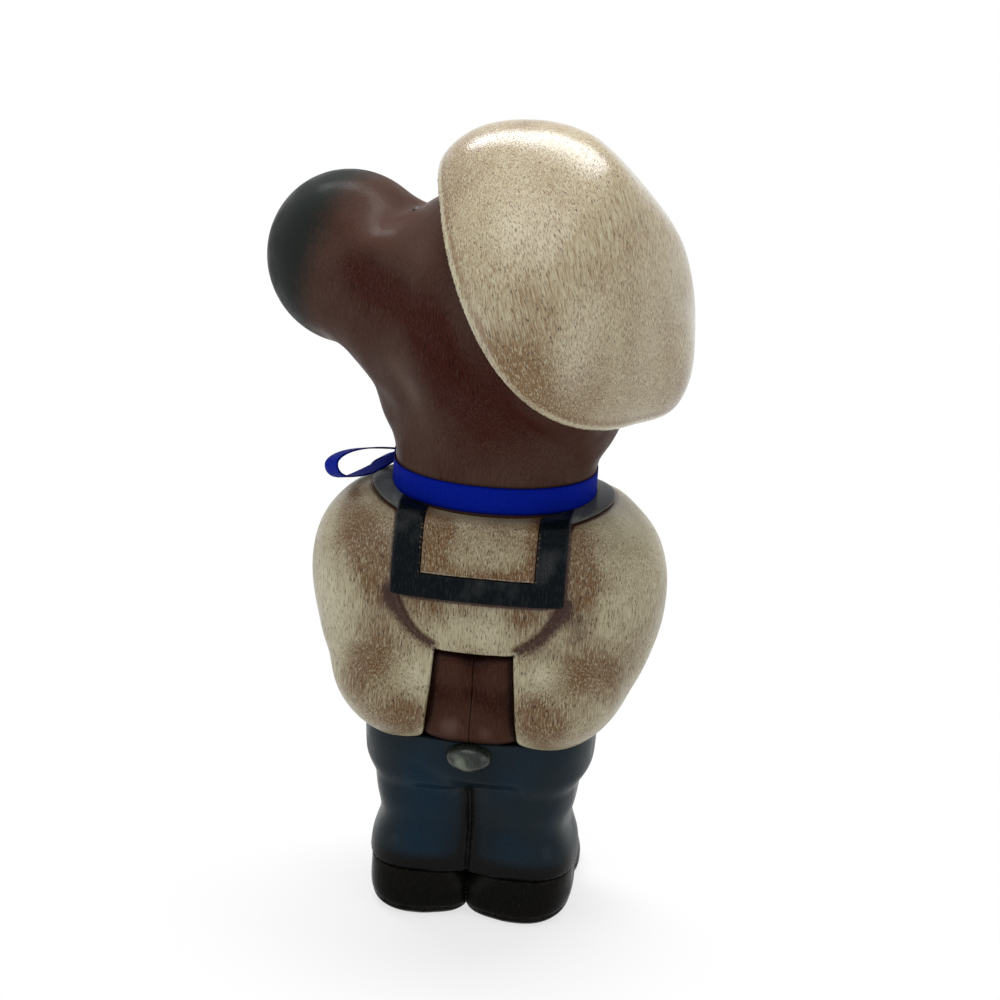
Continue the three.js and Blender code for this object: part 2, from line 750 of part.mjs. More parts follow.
// The line between the legs is a V cut down the back and the front
function legSplit(way) {
  const depth = seatHalfDepth;
  const from = legBack + way * (legHalfDepth - legSplitDepth);
  const outline = new THREE.Shape([
    new THREE.Vector2(0, from),
    new THREE.Vector2(legSplitHalfWidth * depth / legSplitDepth, from + way * depth),
    new THREE.Vector2(-legSplitHalfWidth * depth / legSplitDepth, from + way * depth),
  ]);
  return solid(new THREE.ExtrudeGeometry(outline, { depth: legSplitTop, bevelEnabled: false }));
}
let trousers = solid(trouserSkin(0))
  .intersect(slab(shoeHeight + glueLine, trouserTop))
  .subtract(legSplit(1))
  .subtract(legSplit(-1));
for (const place of waistDowels) trousers = trousers.subtract(waistHole(place));
for (const place of shoeDowels) trousers = trousers.subtract(shoeHole(place));
add('trousers', trousers.subtract(tailSolid(glueLine)), wood.trouser);
add('tail_knob', tailSolid(0), wood.trouser);

// Shoes: a full heel under the hem and a round toe in front of it
const heelRowShares = [
  [-0.4, 0.7, 0.7], [0, 0.86, 0.87], [0.12, 0.94, 0.96],
  [0.35, 1, 1.02], [0.7, 1, 1], [1, 0.95, 0.95], [1.4, 0.9, 0.9],
];
for (const side of [1, -1]) {
  const middle = side * shoeSpread;
  const heel = ovalBlock(
    heelRowShares.map(([level, wide, deep]) => [
      level * shoeHeight, wide * shoeHalfWidth, deep * heelHalfDepth, heelBack,
    ]),
    shoeSquareness,
    middle,
  );
  const toe = egg(at(middle, -toeForward, shoeEdgeRound), at(shoeHalfWidth, toeLength, toeHeight));
  const form = joined(shoeEdgeRound, between(heel, -cutOverrun, shoeHeight + cutOverrun, shoeEdgeRound), toe);
  const spine = [at(middle, -shoeEdgeRound, 0), at(middle, -shoeEdgeRound, shoeHeight)];
  const shoe = solid(skinOf(form, ...spine, ...facets.shoe))
    .intersect(slab(0, shoeHeight))
    .subtract(shoeHole(at(middle, legBack, shoeHeight)));
  add(side > 0 ? 'left_shoe' : 'right_shoe', shoe, wood.black);
}

// Dowels
add('neck_dowel', rod(neckDowelCentre, upright, neckDowelRadius, neckDowelLength), wood.bare);
add('beret_dowel', rod(capDowelCentre, capAxis, capDowelRadius, capDowelLength), wood.bare);
waistDowels.forEach((place, index) => {
  const name = index === 0 ? 'waist_dowel_left' : 'waist_dowel_right';
  add(name, rod(place, upright, waistDowelRadius, waistDowelLength), wood.bare);
});
shoeDowels.forEach((place, index) => {
  const name = index === 0 ? 'shoe_dowel_left' : 'shoe_dowel_right';
  add(name, rod(place, upright, shoeDowelRadius, shoeDowelLength), wood.bare);
});

// Ribbon band round the neck
add('ribbon_band', veneer(
  headForm,
  (share, climb) => {
    const round = 2 * Math.PI * share;
    return {
      from: at(0, 0, ribbonLow + climb * ribbonWidth),
      way: at(Math.cos(round), Math.sin(round), 0),
    };
  },
  ...facets.band,
  ribbonGap,
  ribbonThickness,
  true,
), ribbonCloth);

// The knot stands on the band at the front left; both loops and both ends leave it.
const knotOut = at(Math.cos(knotAngle), Math.sin(knotAngle), 0);
const knotFrom = at(0, 0, knotLevel);
const knotCentre = knotFrom.clone().addScaledVector(
  knotOut,
  castOut(headForm, knotFrom, knotOut) + ribbonGap + ribbonThickness + ribbonGap + knotHalfDepth,
);
const knotForm = egg(at(0, 0, 0), at(knotHalfDepth, knotHalfWidth, knotHalfHeight));
const knotSkin = skinOf(
  knotForm,
  at(0, 0, -knotHalfHeight / 2),
  at(0, 0, knotHalfHeight / 2),
  ...facets.knot,
);
knotSkin.applyQuaternion(aboutZ(knotAngle));
knotSkin.translate(...knotCentre.toArray());
add('ribbon_knot', knotSkin, ribbonCloth);

// A loop is a strip bent into a long ring, open and gathered where it goes into the knot
function loop(heading) {
  const turns = 18;
  const bend = (radiusAcross, radiusUp, order) => Array.from({ length: turns + 1 }, (_, step) => {
    const angle = loopOpening * order * (2 * step / turns - 1);
    return new THREE.Vector2(radiusAcross * Math.cos(angle), radiusUp * Math.sin(angle));
  });
  const outer = bend(loopHalfLength, loopHalfHeight, 1);
  const inner = bend(loopHalfLength - ribbonThickness, loopHalfHeight - ribbonThickness, -1);
  const strip = new THREE.ExtrudeGeometry(new THREE.Shape([...outer, ...inner]), {
    depth: ribbonWidth, bevelEnabled: false,
  });
  strip.translate(loopHalfLength + glueLine, 0, -ribbonWidth / 2);
  strip.rotateX(Math.PI / 2);
  const spots = strip.attributes.position;
  for (let index = 0; index < spots.count; index += 1) {
    const open = Math.min(1, spots.getX(index) / loopHalfLength);
    spots.setY(index, spots.getY(index) * (loopRootShare + (1 - loopRootShare) * open));
  }
  strip.rotateY(loopDroop);
  strip.translate(knotHalfWidth - glueLine, 0, 0);
  strip.rotateZ(heading + knotAngle);
  strip.translate(...knotCentre.toArray());
  return strip;
}
add('ribbon_loop_back', loop(loopHeadings[0]), ribbonCloth);
add('ribbon_loop_front', loop(loopHeadings[1]), ribbonCloth);

// The two ends hang down the shoulder, beside the collar
hangLeans.forEach((lean, index) => {
  const top = ribbonLow - hangTopDrop;
  add(index === 0 ? 'ribbon_end_left' : 'ribbon_end_right', veneer(
    blouseForm,
    (share, climb) => {
      const round = hangAngles[index] + lean * Math.sqrt(1 - climb);
      const across = (share - 1 / 2) * ribbonWidth;
      return {
        from: at(-Math.sin(round) * across, Math.cos(round) * across, hangEnd + climb * (top - hangEnd)),
        way: at(Math.cos(round), Math.sin(round), 0),
      };
    },
    ...facets.end,
    ribbonGap,
    ribbonThickness,
  ), ribbonCloth);
});

// The origin is under the middle of the whole figure's box.
figure.updateMatrixWorld(true);
const wholeBox = new THREE.Box3().setFromObject(figure, true);
figure.position.set(-(wholeBox.min.x + wholeBox.max.x) / 2, -(wholeBox.min.y + wholeBox.max.y) / 2, 0);

export default figure;
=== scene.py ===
"""Carved and painted wooden bear in a sailor's blouse, beret and neck ribbon.

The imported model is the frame. Sizes below are millimetres from the figure's own upright axis,
the same values as in the part's source, and every mesh is turned to metres in the frame.
"""

import bpy
import numpy as np
from mathutils import Matrix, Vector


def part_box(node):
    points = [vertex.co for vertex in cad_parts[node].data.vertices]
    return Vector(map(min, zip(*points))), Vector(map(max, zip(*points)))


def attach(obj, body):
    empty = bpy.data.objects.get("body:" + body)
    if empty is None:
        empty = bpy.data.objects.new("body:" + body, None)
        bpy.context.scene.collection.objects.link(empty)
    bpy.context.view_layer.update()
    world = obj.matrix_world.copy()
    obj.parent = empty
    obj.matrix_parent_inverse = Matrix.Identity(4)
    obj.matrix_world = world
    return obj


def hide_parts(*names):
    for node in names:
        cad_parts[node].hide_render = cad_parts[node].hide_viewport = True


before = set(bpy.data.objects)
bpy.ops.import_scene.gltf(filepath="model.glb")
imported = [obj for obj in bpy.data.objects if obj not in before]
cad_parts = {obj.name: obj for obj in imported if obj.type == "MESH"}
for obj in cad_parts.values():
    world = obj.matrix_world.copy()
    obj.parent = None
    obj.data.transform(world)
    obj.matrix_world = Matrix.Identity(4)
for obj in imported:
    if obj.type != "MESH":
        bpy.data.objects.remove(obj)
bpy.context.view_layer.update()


# Camera, lights and floor
# A long lens behind the figure and a little above it, in a pale studio: a soft box overhead, a
# panel on each side, and a strip that lays the long highlight on the beret. The white ground is
# seen by camera and mirror rays alone, so it doesn't light the figure.

MM = 0.001
figure_axis = np.mean([list(corner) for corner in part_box("neck_dowel")], axis=0)
figure_axis[2] = 0.0

look_at = np.array([-2.2, 0.0, 157.0])
camera_distance = 900.0
camera_elevation = np.radians(20.0)
camera_yaw = np.radians(-6.5)
camera_roll = np.radians(3.0)
camera_lens = 88.77
sensor_width = 36.0


def in_metres(points):
    """From millimetres about the figure's axis to the frame's metres."""
    return np.asarray(points, float) * MM + figure_axis


def unit(vectors):
    """The same direction with a length of one, for one vector or a list of them."""
    return vectors / np.maximum(np.linalg.norm(vectors, axis=-1, keepdims=True), 1e-9)


def turned_frame(place, backward, roll):
    """A matrix whose -Z looks against `backward`, level but for the roll."""
    backward = unit(backward)
    right = unit(np.cross([0.0, 0.0, 1.0], backward))
    up = np.cross(backward, right)
    rolled_right = np.cos(roll) * right + np.sin(roll) * up
    rolled_up = -np.sin(roll) * right + np.cos(roll) * up
    matrix = np.eye(4)
    matrix[:3, :3] = np.stack([rolled_right, rolled_up, backward], axis=1)
    matrix[:3, 3] = place
    return Matrix(matrix.tolist())


away = np.array([
    np.sin(camera_yaw) * np.cos(camera_elevation),
    np.cos(camera_yaw) * np.cos(camera_elevation),
    np.sin(camera_elevation),
])
camera_data = bpy.data.cameras.new("camera")
camera_data.lens = camera_lens
camera_data.sensor_width = sensor_width
camera_data.sensor_height = sensor_width
camera_data.sensor_fit = "HORIZONTAL"
camera = bpy.data.objects.new("camera", camera_data)
camera.matrix_world = turned_frame(in_metres(look_at + camera_distance * away), away, camera_roll)
bpy.context.collection.objects.link(camera)
bpy.context.scene.camera = camera
bpy.context.scene.view_settings.view_transform = "Standard"


def soft_box(name, place, aim, width, height, watts):
    """A rectangular studio light at a place, facing a point, sizes in millimetres."""
    data = bpy.data.lights.new(name, "AREA")
    data.shape = "RECTANGLE"
    data.size = width * MM
    data.size_y = height * MM
    data.energy = watts
    light = bpy.data.objects.new(name, data)
    light.matrix_world = turned_frame(in_metres(place), np.subtract(place, aim), 0.0)
    bpy.context.collection.objects.link(light)


chest = (0, 0, 160)
beside_beret = (248, -96, 240)
soft_box("overhead_box", (60, 260, 860), chest, width=560, height=300, watts=1.0)
soft_box("left_panel", (820, 560, 330), chest, width=500, height=700, watts=1.5)
soft_box("right_panel", (-820, 480, 300), chest, width=500, height=700, watts=1.3)
soft_box("strip_above", (160, -330, 990), beside_beret, width=1100, height=230, watts=9.6)


def add_node(tree, kind, inputs=None, **settings):
    """A shader node whose inputs are linked or set in one go."""
    node = tree.nodes.new(kind)
    for key, value in settings.items():
        setattr(node, key, value)
    for key, value in (inputs or {}).items():
        if isinstance(value, bpy.types.NodeSocket):
            tree.links.new(value, node.inputs[key])
        else:
            node.inputs[key].default_value = value
    return node


def maths(tree, operation, first, second=0.0, clamp=False):
    node = add_node(tree, "ShaderNodeMath", {0: first, 1: second}, operation=operation, use_clamp=clamp)
    return node.outputs[0]


def spread(tree, value, low, high, low_to=0.0, high_to=1.0):
    """Stretches a value between two limits to two others, with soft ends."""
    inputs = {0: value, 1: low, 2: high, 3: low_to, 4: high_to}
    return add_node(tree, "ShaderNodeMapRange", inputs, interpolation_type="SMOOTHSTEP").outputs[0]


def new_material(name):
    """A node material with nothing in it yet, and its tree."""
    material = bpy.data.materials.new(name)
    material.use_nodes = True
    material.node_tree.nodes.clear()
    return material, material.node_tree


def piece(name, points, faces):
    """A smooth mesh object from millimetre points."""
    mesh = bpy.data.meshes.new(name)
    mesh.from_pydata(in_metres(points).tolist(), [], np.asarray(faces).tolist())
    mesh.polygons.foreach_set("use_smooth", [True] * len(mesh.polygons))
    shape = bpy.data.objects.new(name, mesh)
    bpy.context.collection.objects.link(shape)
    return shape


def seen_directly(tree):
    """1 for camera, mirror and see-through rays, and 0 for the rays that light the figure."""
    rays = add_node(tree, "ShaderNodeLightPath").outputs
    sharp = maths(tree, "MAXIMUM", rays["Is Camera Ray"], rays["Is Glossy Ray"])
    return maths(tree, "MAXIMUM", sharp, rays["Is Transmission Ray"])


white = (1.0, 1.0, 1.0, 1.0)
fill_strength = 0.5
world = bpy.data.worlds.new("studio")
world.use_nodes = True
bpy.context.scene.world = world
sky = world.node_tree
sky.nodes.clear()
lit = add_node(sky, "ShaderNodeBackground", {"Color": white, "Strength": fill_strength})
shown = add_node(sky, "ShaderNodeBackground", {"Color": white, "Strength": 1.0})
mixed = add_node(sky, "ShaderNodeMixShader", {0: seen_directly(sky), 1: lit.outputs[0], 2: shown.outputs[0]})
add_node(sky, "ShaderNodeOutputWorld", {"Surface": mixed.outputs[0]})

floor_half_width = 4000.0
floor_grey = (0.86, 0.86, 0.86, 1.0)
shadow_edges = (45.0, 130.0)
whiteness_by_feet = 0.7
floor_corners = floor_half_width * np.array([(-1, -1, 0), (1, -1, 0), (1, 1, 0), (-1, 1, 0)])
floor = piece("floor", floor_corners, [(0, 1, 2, 3)])
floor_paint, ground = new_material("pale_floor")
matt = add_node(ground, "ShaderNodeBsdfDiffuse", {"Color": floor_grey})
glow = add_node(ground, "ShaderNodeEmission", {"Color": white, "Strength": 1.0})
spot = add_node(ground, "ShaderNodeTexCoord").outputs["Object"]
reach = add_node(ground, "ShaderNodeVectorMath", {0: spot}, operation="LENGTH").outputs["Value"]
far_off = spread(ground, reach, shadow_edges[0] * MM, shadow_edges[1] * MM, whiteness_by_feet, 1.0)
whitened = maths(ground, "MULTIPLY", seen_directly(ground), far_off)
ground_mix = add_node(ground, "ShaderNodeMixShader", {0: whitened, 1: matt.outputs[0], 2: glow.outputs[0]})
add_node(ground, "ShaderNodeOutputMaterial", {"Surface": ground_mix.outputs[0]})
floor.data.materials.append(floor_paint)


# Shoes
# Two stubby shoes carved from blocks under the trouser hems: a full heel, a round toe and a
# shallow knife line for the sole. They are painted black and varnished.

glue_line = 0.3
cut_overrun = 8.0
cut_round = 0.4
shoe_height = 18.0
shoe_spread = 19.3
shoe_half_width = 19.2
shoe_squareness = 2.4
shoe_edge_round = 4.0
shoe_parting = 0.12
heel_half_depth = 27.0
heel_back = 6.0
heel_shares = [
    (-0.4, 0.74, 0.7), (0, 0.87, 0.87), (0.12, 0.95, 0.96), (0.35, 1, 1), (0.7, 1, 0.98), (1, 0.995, 0.94),
    (1.4, 0.97, 0.9),
]
inner_heel = np.array([7.0, 21.0, 8.5])
inner_heel_radii = (9.0, 9.5, 9.0)
toe_length = 26.0
toe_height = 17.0
toe_forward = 22.0
sole_level = 3.6


def egg(centre, radii, turn=np.eye(3)):
    """An egg as a measure: below zero inside, and about the distance near its skin."""
    centre, radii = np.array(centre, float), np.array(radii, float)

    def form(points):
        local = (points - centre) @ turn / radii
        near = np.linalg.norm(local, axis=1)
        slope = np.linalg.norm(local / radii, axis=1)
        return near * (near - 1) / np.maximum(slope, 1e-6)

    return form


def smooth_track(rows):
    """The rows' values at any height, on a curve through all of them."""
    rows = np.array(rows, float)
    heights, values = rows[:, 0], rows[:, 1:]
    gaps = np.diff(heights)[:, None]
    slopes = np.gradient(values, heights, axis=0)
    slopes[1:-1] = (values[2:] - values[:-2]) / (gaps[1:] + gaps[:-1])

    def at(level):
        level = np.clip(level, heights[0], heights[-1])
        row = np.clip(np.searchsorted(heights, level) - 1, 0, len(heights) - 2)
        gap = gaps[row]
        share = (level - heights[row])[:, None] / gap
        back = share * share * (3 - 2 * share)
        rise = share * (1 - share)
        bend = rise * ((1 - share) * slopes[row] - share * slopes[row + 1]) * gap
        return (1 - back) * values[row] + back * values[row + 1] + bend

    return at


def oval_block(shares, height, half_width, half_depth, back, squareness, foot=0.0, middle=0.0):
    """A block with an oval plan. A row gives shares of its height, half width and half depth."""
    track = smooth_track([
        (foot + level * height, wide * half_width, deep * half_depth) for level, wide, deep in shares
    ])

    def form(points):
        wide, deep = track(points[:, 2]).T
        aside = (np.abs(points[:, 0] - middle) / wide) ** squareness
        behind = (np.abs(points[:, 1] - back) / deep) ** squareness
        return ((aside + behind) ** (1 / squareness) - 1) * np.minimum(wide, deep)

    return form


def joined(*forms, fillet):
    """Soft union: the forms run into each other with a fillet."""
    def form(points):
        first = forms[0](points)
        for other in forms[1:]:
            second = other(points)
            share = np.maximum(fillet - np.abs(first - second), 0) / fillet
            first = np.minimum(first, second) - share * share * fillet / 4
        return first

    return form


def flipped(form):
    """The same skin, with inside and outside exchanged."""
    return lambda points: -form(points)


def trimmed(*forms, edge):
    """What the forms share, with edges rounded by about this radius."""
    return flipped(joined(*[flipped(form) for form in forms], fillet=edge))


def between(form, low, high, edge, dish=None):
    """The part of a form between two heights; the upper cut can rise by a dish."""
    def flat(points):
        rise = dish(points) if dish else 0.0
        return np.maximum(low - points[:, 2], points[:, 2] - high - rise)

    return trimmed(flat, form, edge=edge)


def groove(form, track_distance, half_width, depth):
    """A rounded knife line along a track, given by the distance from it."""
    def cut(points):
        across = track_distance(points) / half_width
        return form(points) + depth * np.exp(-across * across)

    return cut


def above_sole(points):
    return points[:, 2] - sole_level


def shoe_form(side):
    """One shoe: heel block and toe, cut flat under the sole, at the hem and against its twin."""
    middle = side * shoe_spread
    heel = between(oval_block(
        heel_shares, shoe_height, shoe_half_width, heel_half_depth, heel_back, shoe_squareness, middle=middle,
    ), -cut_overrun, shoe_height + cut_overrun, shoe_edge_round)
    toe = egg((middle, -toe_forward, shoe_edge_round), (shoe_half_width, toe_length, toe_height))
    swell = egg(inner_heel * (side, 1, 1), inner_heel_radii)

    def beside(points):
        return shoe_parting - side * points[:, 0]

    block = trimmed(joined(heel, toe, swell, fillet=shoe_edge_round), beside, edge=cut_round)
    return groove(between(block, 0.0, shoe_height, cut_round), above_sole, half_width=0.45, depth=0.5)


coarse = 1.0
batch_size = 60000


def lift_of(form, points):
    """Which way and how fast the measure grows at each point."""
    reach = 0.04
    steps = reach * np.eye(3)
    return np.stack([(form(points + step) - form(points - step)) / (2 * reach) for step in steps], axis=-1)


def carve(name, form, low, high, cell):
    """The skin of a form as a mesh: one point in each small cell that the skin passes through."""
    cell = cell * coarse
    low, high = np.array(low, float), np.array(high, float)
    counts = np.ceil((high - low) / cell).astype(int) + 1
    lines = [low[way] + cell * np.arange(counts[way]) for way in range(3)]
    spots = np.stack(np.meshgrid(*lines, indexing="ij"), axis=-1).reshape(-1, 3)
    batches = np.array_split(spots, max(1, len(spots) // batch_size))
    value = np.concatenate([form(batch) for batch in batches]).reshape(counts)
    inside = value < 0
    corners = list(np.ndindex(2, 2, 2))
    windows = [tuple(slice(o, o + n - 1) for o, n in zip(corner, counts)) for corner in corners]
    held = sum(inside[window].astype(np.int8) for window in windows)
    cells = np.argwhere((held > 0) & (held < 8))
    number = np.full(counts - 1, -1)
    number[tuple(cells.T)] = np.arange(len(cells))
    total = np.zeros((len(cells), 3))
    hits = np.zeros(len(cells))
    faces = []
    for way in range(3):
        step = np.eye(3, dtype=int)[way]
        for corner in corners:
            if corner[way]:
                continue
            first = cells + corner
            here, there = value[tuple(first.T)], value[tuple((first + step).T)]
            crossed = (here < 0) != (there < 0)
            share = np.where(crossed, here / np.where(crossed, here - there, 1), 0)
            total += (first + share[:, None] * step) * crossed[:, None]
            hits += crossed
        side, back = np.eye(3, dtype=int)[(way + 1) % 3], np.eye(3, dtype=int)[(way + 2) % 3]
        leaving = np.take(inside, range(counts[way] - 1), way)
        edges = np.argwhere(leaving != np.take(inside, range(1, counts[way]), way))
        ring = [edges, edges - side, edges - side - back, edges - back]
        quads = np.stack([number[tuple(spot.T)] for spot in ring], axis=-1)
        turned = ~leaving[tuple(edges.T)]
        quads[turned] = quads[turned][:, ::-1]
        faces.append(quads)
    points = low + cell * total / hits[:, None]
    for _ in range(3):
        lift = lift_of(form, points)
        move = form(points)[:, None] * lift / np.maximum((lift ** 2).sum(axis=1, keepdims=True), 1e-6)
        length = np.linalg.norm(move, axis=1, keepdims=True)
        points -= move * np.minimum(1, cell / 2 / np.maximum(length, 1e-9))
    return piece(name, points, np.concatenate(faces))


def points_of(shape):
    """The mesh's points, back in millimetres about the figure's axis."""
    flat = np.empty(3 * len(shape.data.vertices))
    shape.data.vertices.foreach_get("co", flat)
    return (flat.reshape(-1, 3) - figure_axis) / MM


def note(shape, name, values, limit=1.0):
    """Writes one number a point, held within a limit, for the paint to read."""
    layer = shape.data.attributes.new(name, "FLOAT", "POINT")
    layer.data.foreach_set("value", np.clip(values, -limit, limit).astype(np.float32))


# How far each hollow mark looks out from the skin; the paint darkens hollows by them, as dark wax and as
# painted shade.
hollow_reaches = {"hollow": 2.2, "deep": 7.0, "wide": 16.0}
edge_gain = 3


def note_hollows_and_edges(shape, form, neighbours=(), edge_reach=1.1):
    """Notes how hollow the skin is, near and wide, and how sharp an edge; gives back its points."""
    points = points_of(shape)
    lift = lift_of(form, points)
    speed = np.maximum(np.linalg.norm(lift, axis=1), 1e-6)
    out = lift / speed[:, None]

    def room(reach):
        spot = points + out * reach
        free = form(spot) / speed
        for other in neighbours:
            free = np.minimum(free, other(spot))
        return free / reach

    for mark, reach in hollow_reaches.items():
        note(shape, mark, 1 - room(reach))
    note(shape, "edge", (1 - room(-edge_reach)) * edge_gain)
    return points


def paint(red, green, blue):
    """A colour as a painter's card reads it, turned to the light it sends back."""
    card = np.array([red, green, blue]) / 255
    light = np.where(card <= 0.04045, card / 12.92, ((card + 0.055) / 1.055) ** 2.4)
    return (*light.tolist(), 1.0)


def new_group(name, inputs, outputs):
    """An empty node group with named inputs and outputs."""
    group = bpy.data.node_groups.new(name, "ShaderNodeTree")
    kinds = {"color": "NodeSocketColor", "number": "NodeSocketFloat", "way": "NodeSocketVector"}
    for socket, (kind, default) in inputs.items():
        made = group.interface.new_socket(socket, in_out="INPUT", socket_type=kinds[kind])
        made.default_value = default
    for socket, kind in outputs.items():
        group.interface.new_socket(socket, in_out="OUTPUT", socket_type=kinds[kind])
    return group, add_node(group, "NodeGroupInput").outputs, add_node(group, "NodeGroupOutput").inputs


def blend_of(tree, share, first, second):
    return add_node(tree, "ShaderNodeMix", {0: share, 6: first, 7: second}, data_type="RGBA").outputs[2]


def noise_of(tree, across, along, detail=2.0, roughness=0.5, lean=(0.0, 0.0, 0.0)):
    """Noise in the wood's own lengths: so many millimetres across the grain and along it."""
    place = add_node(tree, "ShaderNodeTexCoord")
    sized = add_node(tree, "ShaderNodeMapping", {
        "Vector": place.outputs["Object"], "Rotation": lean, "Scale": (across * MM, across * MM, along * MM),
    }, vector_type="TEXTURE")
    noise = add_node(tree, "ShaderNodeTexNoise", {
        "Vector": sized.outputs[0], "Scale": 1.0, "Detail": detail, "Roughness": roughness,
    })
    return noise.outputs[0]


def mark_of(tree, name):
    return add_node(tree, "ShaderNodeAttribute", attribute_name=name).outputs["Fac"]


# Grain, upright unless it leans: short dark pores, fine streaks and slow cloudy patches.
grain_group, grain_in, grain_out = new_group("carved_grain", {"Lean": ("way", (0, 0, 0))}, {
    "Pores": "number", "Streaks": "number", "Clouds": "number", "Height": "number",
})
pore_noise = noise_of(grain_group, across=0.42, along=2.2, detail=1.0, lean=grain_in["Lean"])
pores = spread(grain_group, pore_noise, 0.61, 0.71)
streaks = noise_of(grain_group, across=0.42, along=6.0, detail=3.0, roughness=0.65, lean=grain_in["Lean"])
clouds = noise_of(grain_group, across=16.0, along=26.0, detail=3.0)
pit = maths(grain_group, "MULTIPLY", pores, -0.6)
ridge = maths(grain_group, "MULTIPLY", streaks, 0.5)
for socket, value in zip(grain_out, (pores, streaks, clouds, maths(grain_group, "ADD", pit, ridge))):
    grain_group.links.new(value, socket)

# Antique glaze: dark wax stays in hollows and pores, and is rubbed off edges. The darkening of hollows is
# partly painted shade, also where a neighbouring piece hangs over.
glaze_shade_group, wax_in, wax_out = new_group("antique_glaze_and_shade", {
    "Paint": ("color", (0.5, 0.5, 0.5, 1)), "Rubbed and lit": ("color", (0.7, 0.7, 0.7, 1)),
    "Stain and shade": ("color", (0.3, 0.2, 0.1, 1)), "Glaze and shade": ("color", (0.1, 0.05, 0.02, 1)),
    "Streak": ("color", (0.7, 0.7, 0.7, 1)), "Wide stain": ("number", 1.0),
    "Pore depth": ("number", 0.6), "Hollow depth": ("number", 0.8), "Stain depth": ("number", 0.5),
    "Streak depth": ("number", 0.4), "Edge wear": ("number", 0.5), "Lean": ("way", (0, 0, 0)),
}, {"Color": "color", "Height": "number"})
grain = add_node(glaze_shade_group, "ShaderNodeGroup", {"Lean": wax_in["Lean"]}, node_tree=grain_group).outputs
streak_share = maths(glaze_shade_group, "ADD", grain["Streaks"], -0.5)
pale_streak = maths(glaze_shade_group, "MULTIPLY", spread(glaze_shade_group, streak_share, 0.0, 0.16), wax_in["Streak depth"])
dark_streak = maths(glaze_shade_group, "MULTIPLY", spread(glaze_shade_group, streak_share, 0.0, -0.16), wax_in["Streak depth"])
ragged_noise = noise_of(glaze_shade_group, across=0.45, along=1.7, detail=4.0, roughness=0.75, lean=wax_in["Lean"])
ragged = spread(glaze_shade_group, ragged_noise, 0.3, 0.7, 0.5, 1.4)
# The wide hollow mark and spots above zero darken towards the stain colour: real stains, and painted shade.
wide_stain_and_shade = maths(glaze_shade_group, "MULTIPLY", spread(glaze_shade_group, mark_of(glaze_shade_group, "wide"), 0.1, 0.7), wax_in["Wide stain"])
stain_and_shade_reach = maths(glaze_shade_group, "ADD", wide_stain_and_shade, mark_of(glaze_shade_group, "stain_and_shade"))
stain_and_shade_cloud = maths(glaze_shade_group, "ADD", stain_and_shade_reach, spread(glaze_shade_group, grain["Clouds"], 0.35, 0.65, -0.12, 0.3))
stain_and_shade_edge = maths(glaze_shade_group, "MULTIPLY", stain_and_shade_cloud, ragged)
stained_and_shaded = maths(glaze_shade_group, "MULTIPLY", stain_and_shade_edge, wax_in["Stain depth"], clamp=True)
body = blend_of(glaze_shade_group, stained_and_shaded, wax_in["Paint"], wax_in["Stain and shade"])
# Spots below zero lighten towards the rubbed colour: rubbed wear, and painted highlights.
pale = spread(glaze_shade_group, mark_of(glaze_shade_group, "stain_and_shade"), -0.1, -1.0, 0.0, 0.8)
body = blend_of(glaze_shade_group, pale, body, wax_in["Rubbed and lit"])
body = blend_of(glaze_shade_group, pale_streak, body, wax_in["Streak"])
body = blend_of(glaze_shade_group, dark_streak, body, wax_in["Stain and shade"])
# Near and deep hollows and the shade marks darken towards the glaze colour: dark wax, and painted shade.
near_hollow = spread(glaze_shade_group, mark_of(glaze_shade_group, "hollow"), 0.06, 0.6)
deep_hollow = spread(glaze_shade_group, mark_of(glaze_shade_group, "deep"), 0.12, 0.8)
hollows = maths(glaze_shade_group, "MAXIMUM", maths(glaze_shade_group, "MAXIMUM", near_hollow, deep_hollow), mark_of(glaze_shade_group, "shade_and_darkening"))
wax_and_shade = maths(glaze_shade_group, "MULTIPLY", maths(glaze_shade_group, "MULTIPLY", hollows, ragged), wax_in["Hollow depth"], clamp=True)
waxed_and_shaded = blend_of(glaze_shade_group, wax_and_shade, body, wax_in["Glaze and shade"])
pore_wax = maths(glaze_shade_group, "ADD", maths(glaze_shade_group, "MULTIPLY", stained_and_shaded, 0.6), wax_in["Pore depth"])
filled_pores = maths(glaze_shade_group, "MULTIPLY", grain["Pores"], pore_wax, clamp=True)
porous = blend_of(glaze_shade_group, filled_pores, waxed_and_shaded, wax_in["Glaze and shade"])
patchy = spread(glaze_shade_group, noise_of(glaze_shade_group, across=1.6, along=3.0, detail=3.0), 0.35, 0.6, 0.2, 1.0)
rubbing = maths(glaze_shade_group, "MULTIPLY", spread(glaze_shade_group, mark_of(glaze_shade_group, "edge"), 0.3, 0.8), patchy)
rubbed_off = maths(glaze_shade_group, "MULTIPLY", rubbing, wax_in["Edge wear"])
rubbed_edges = blend_of(glaze_shade_group, rubbed_off, porous, wax_in["Rubbed and lit"])
glaze_shade_group.links.new(rubbed_edges, wax_out["Color"])
glaze_shade_group.links.new(grain["Height"], wax_out["Height"])


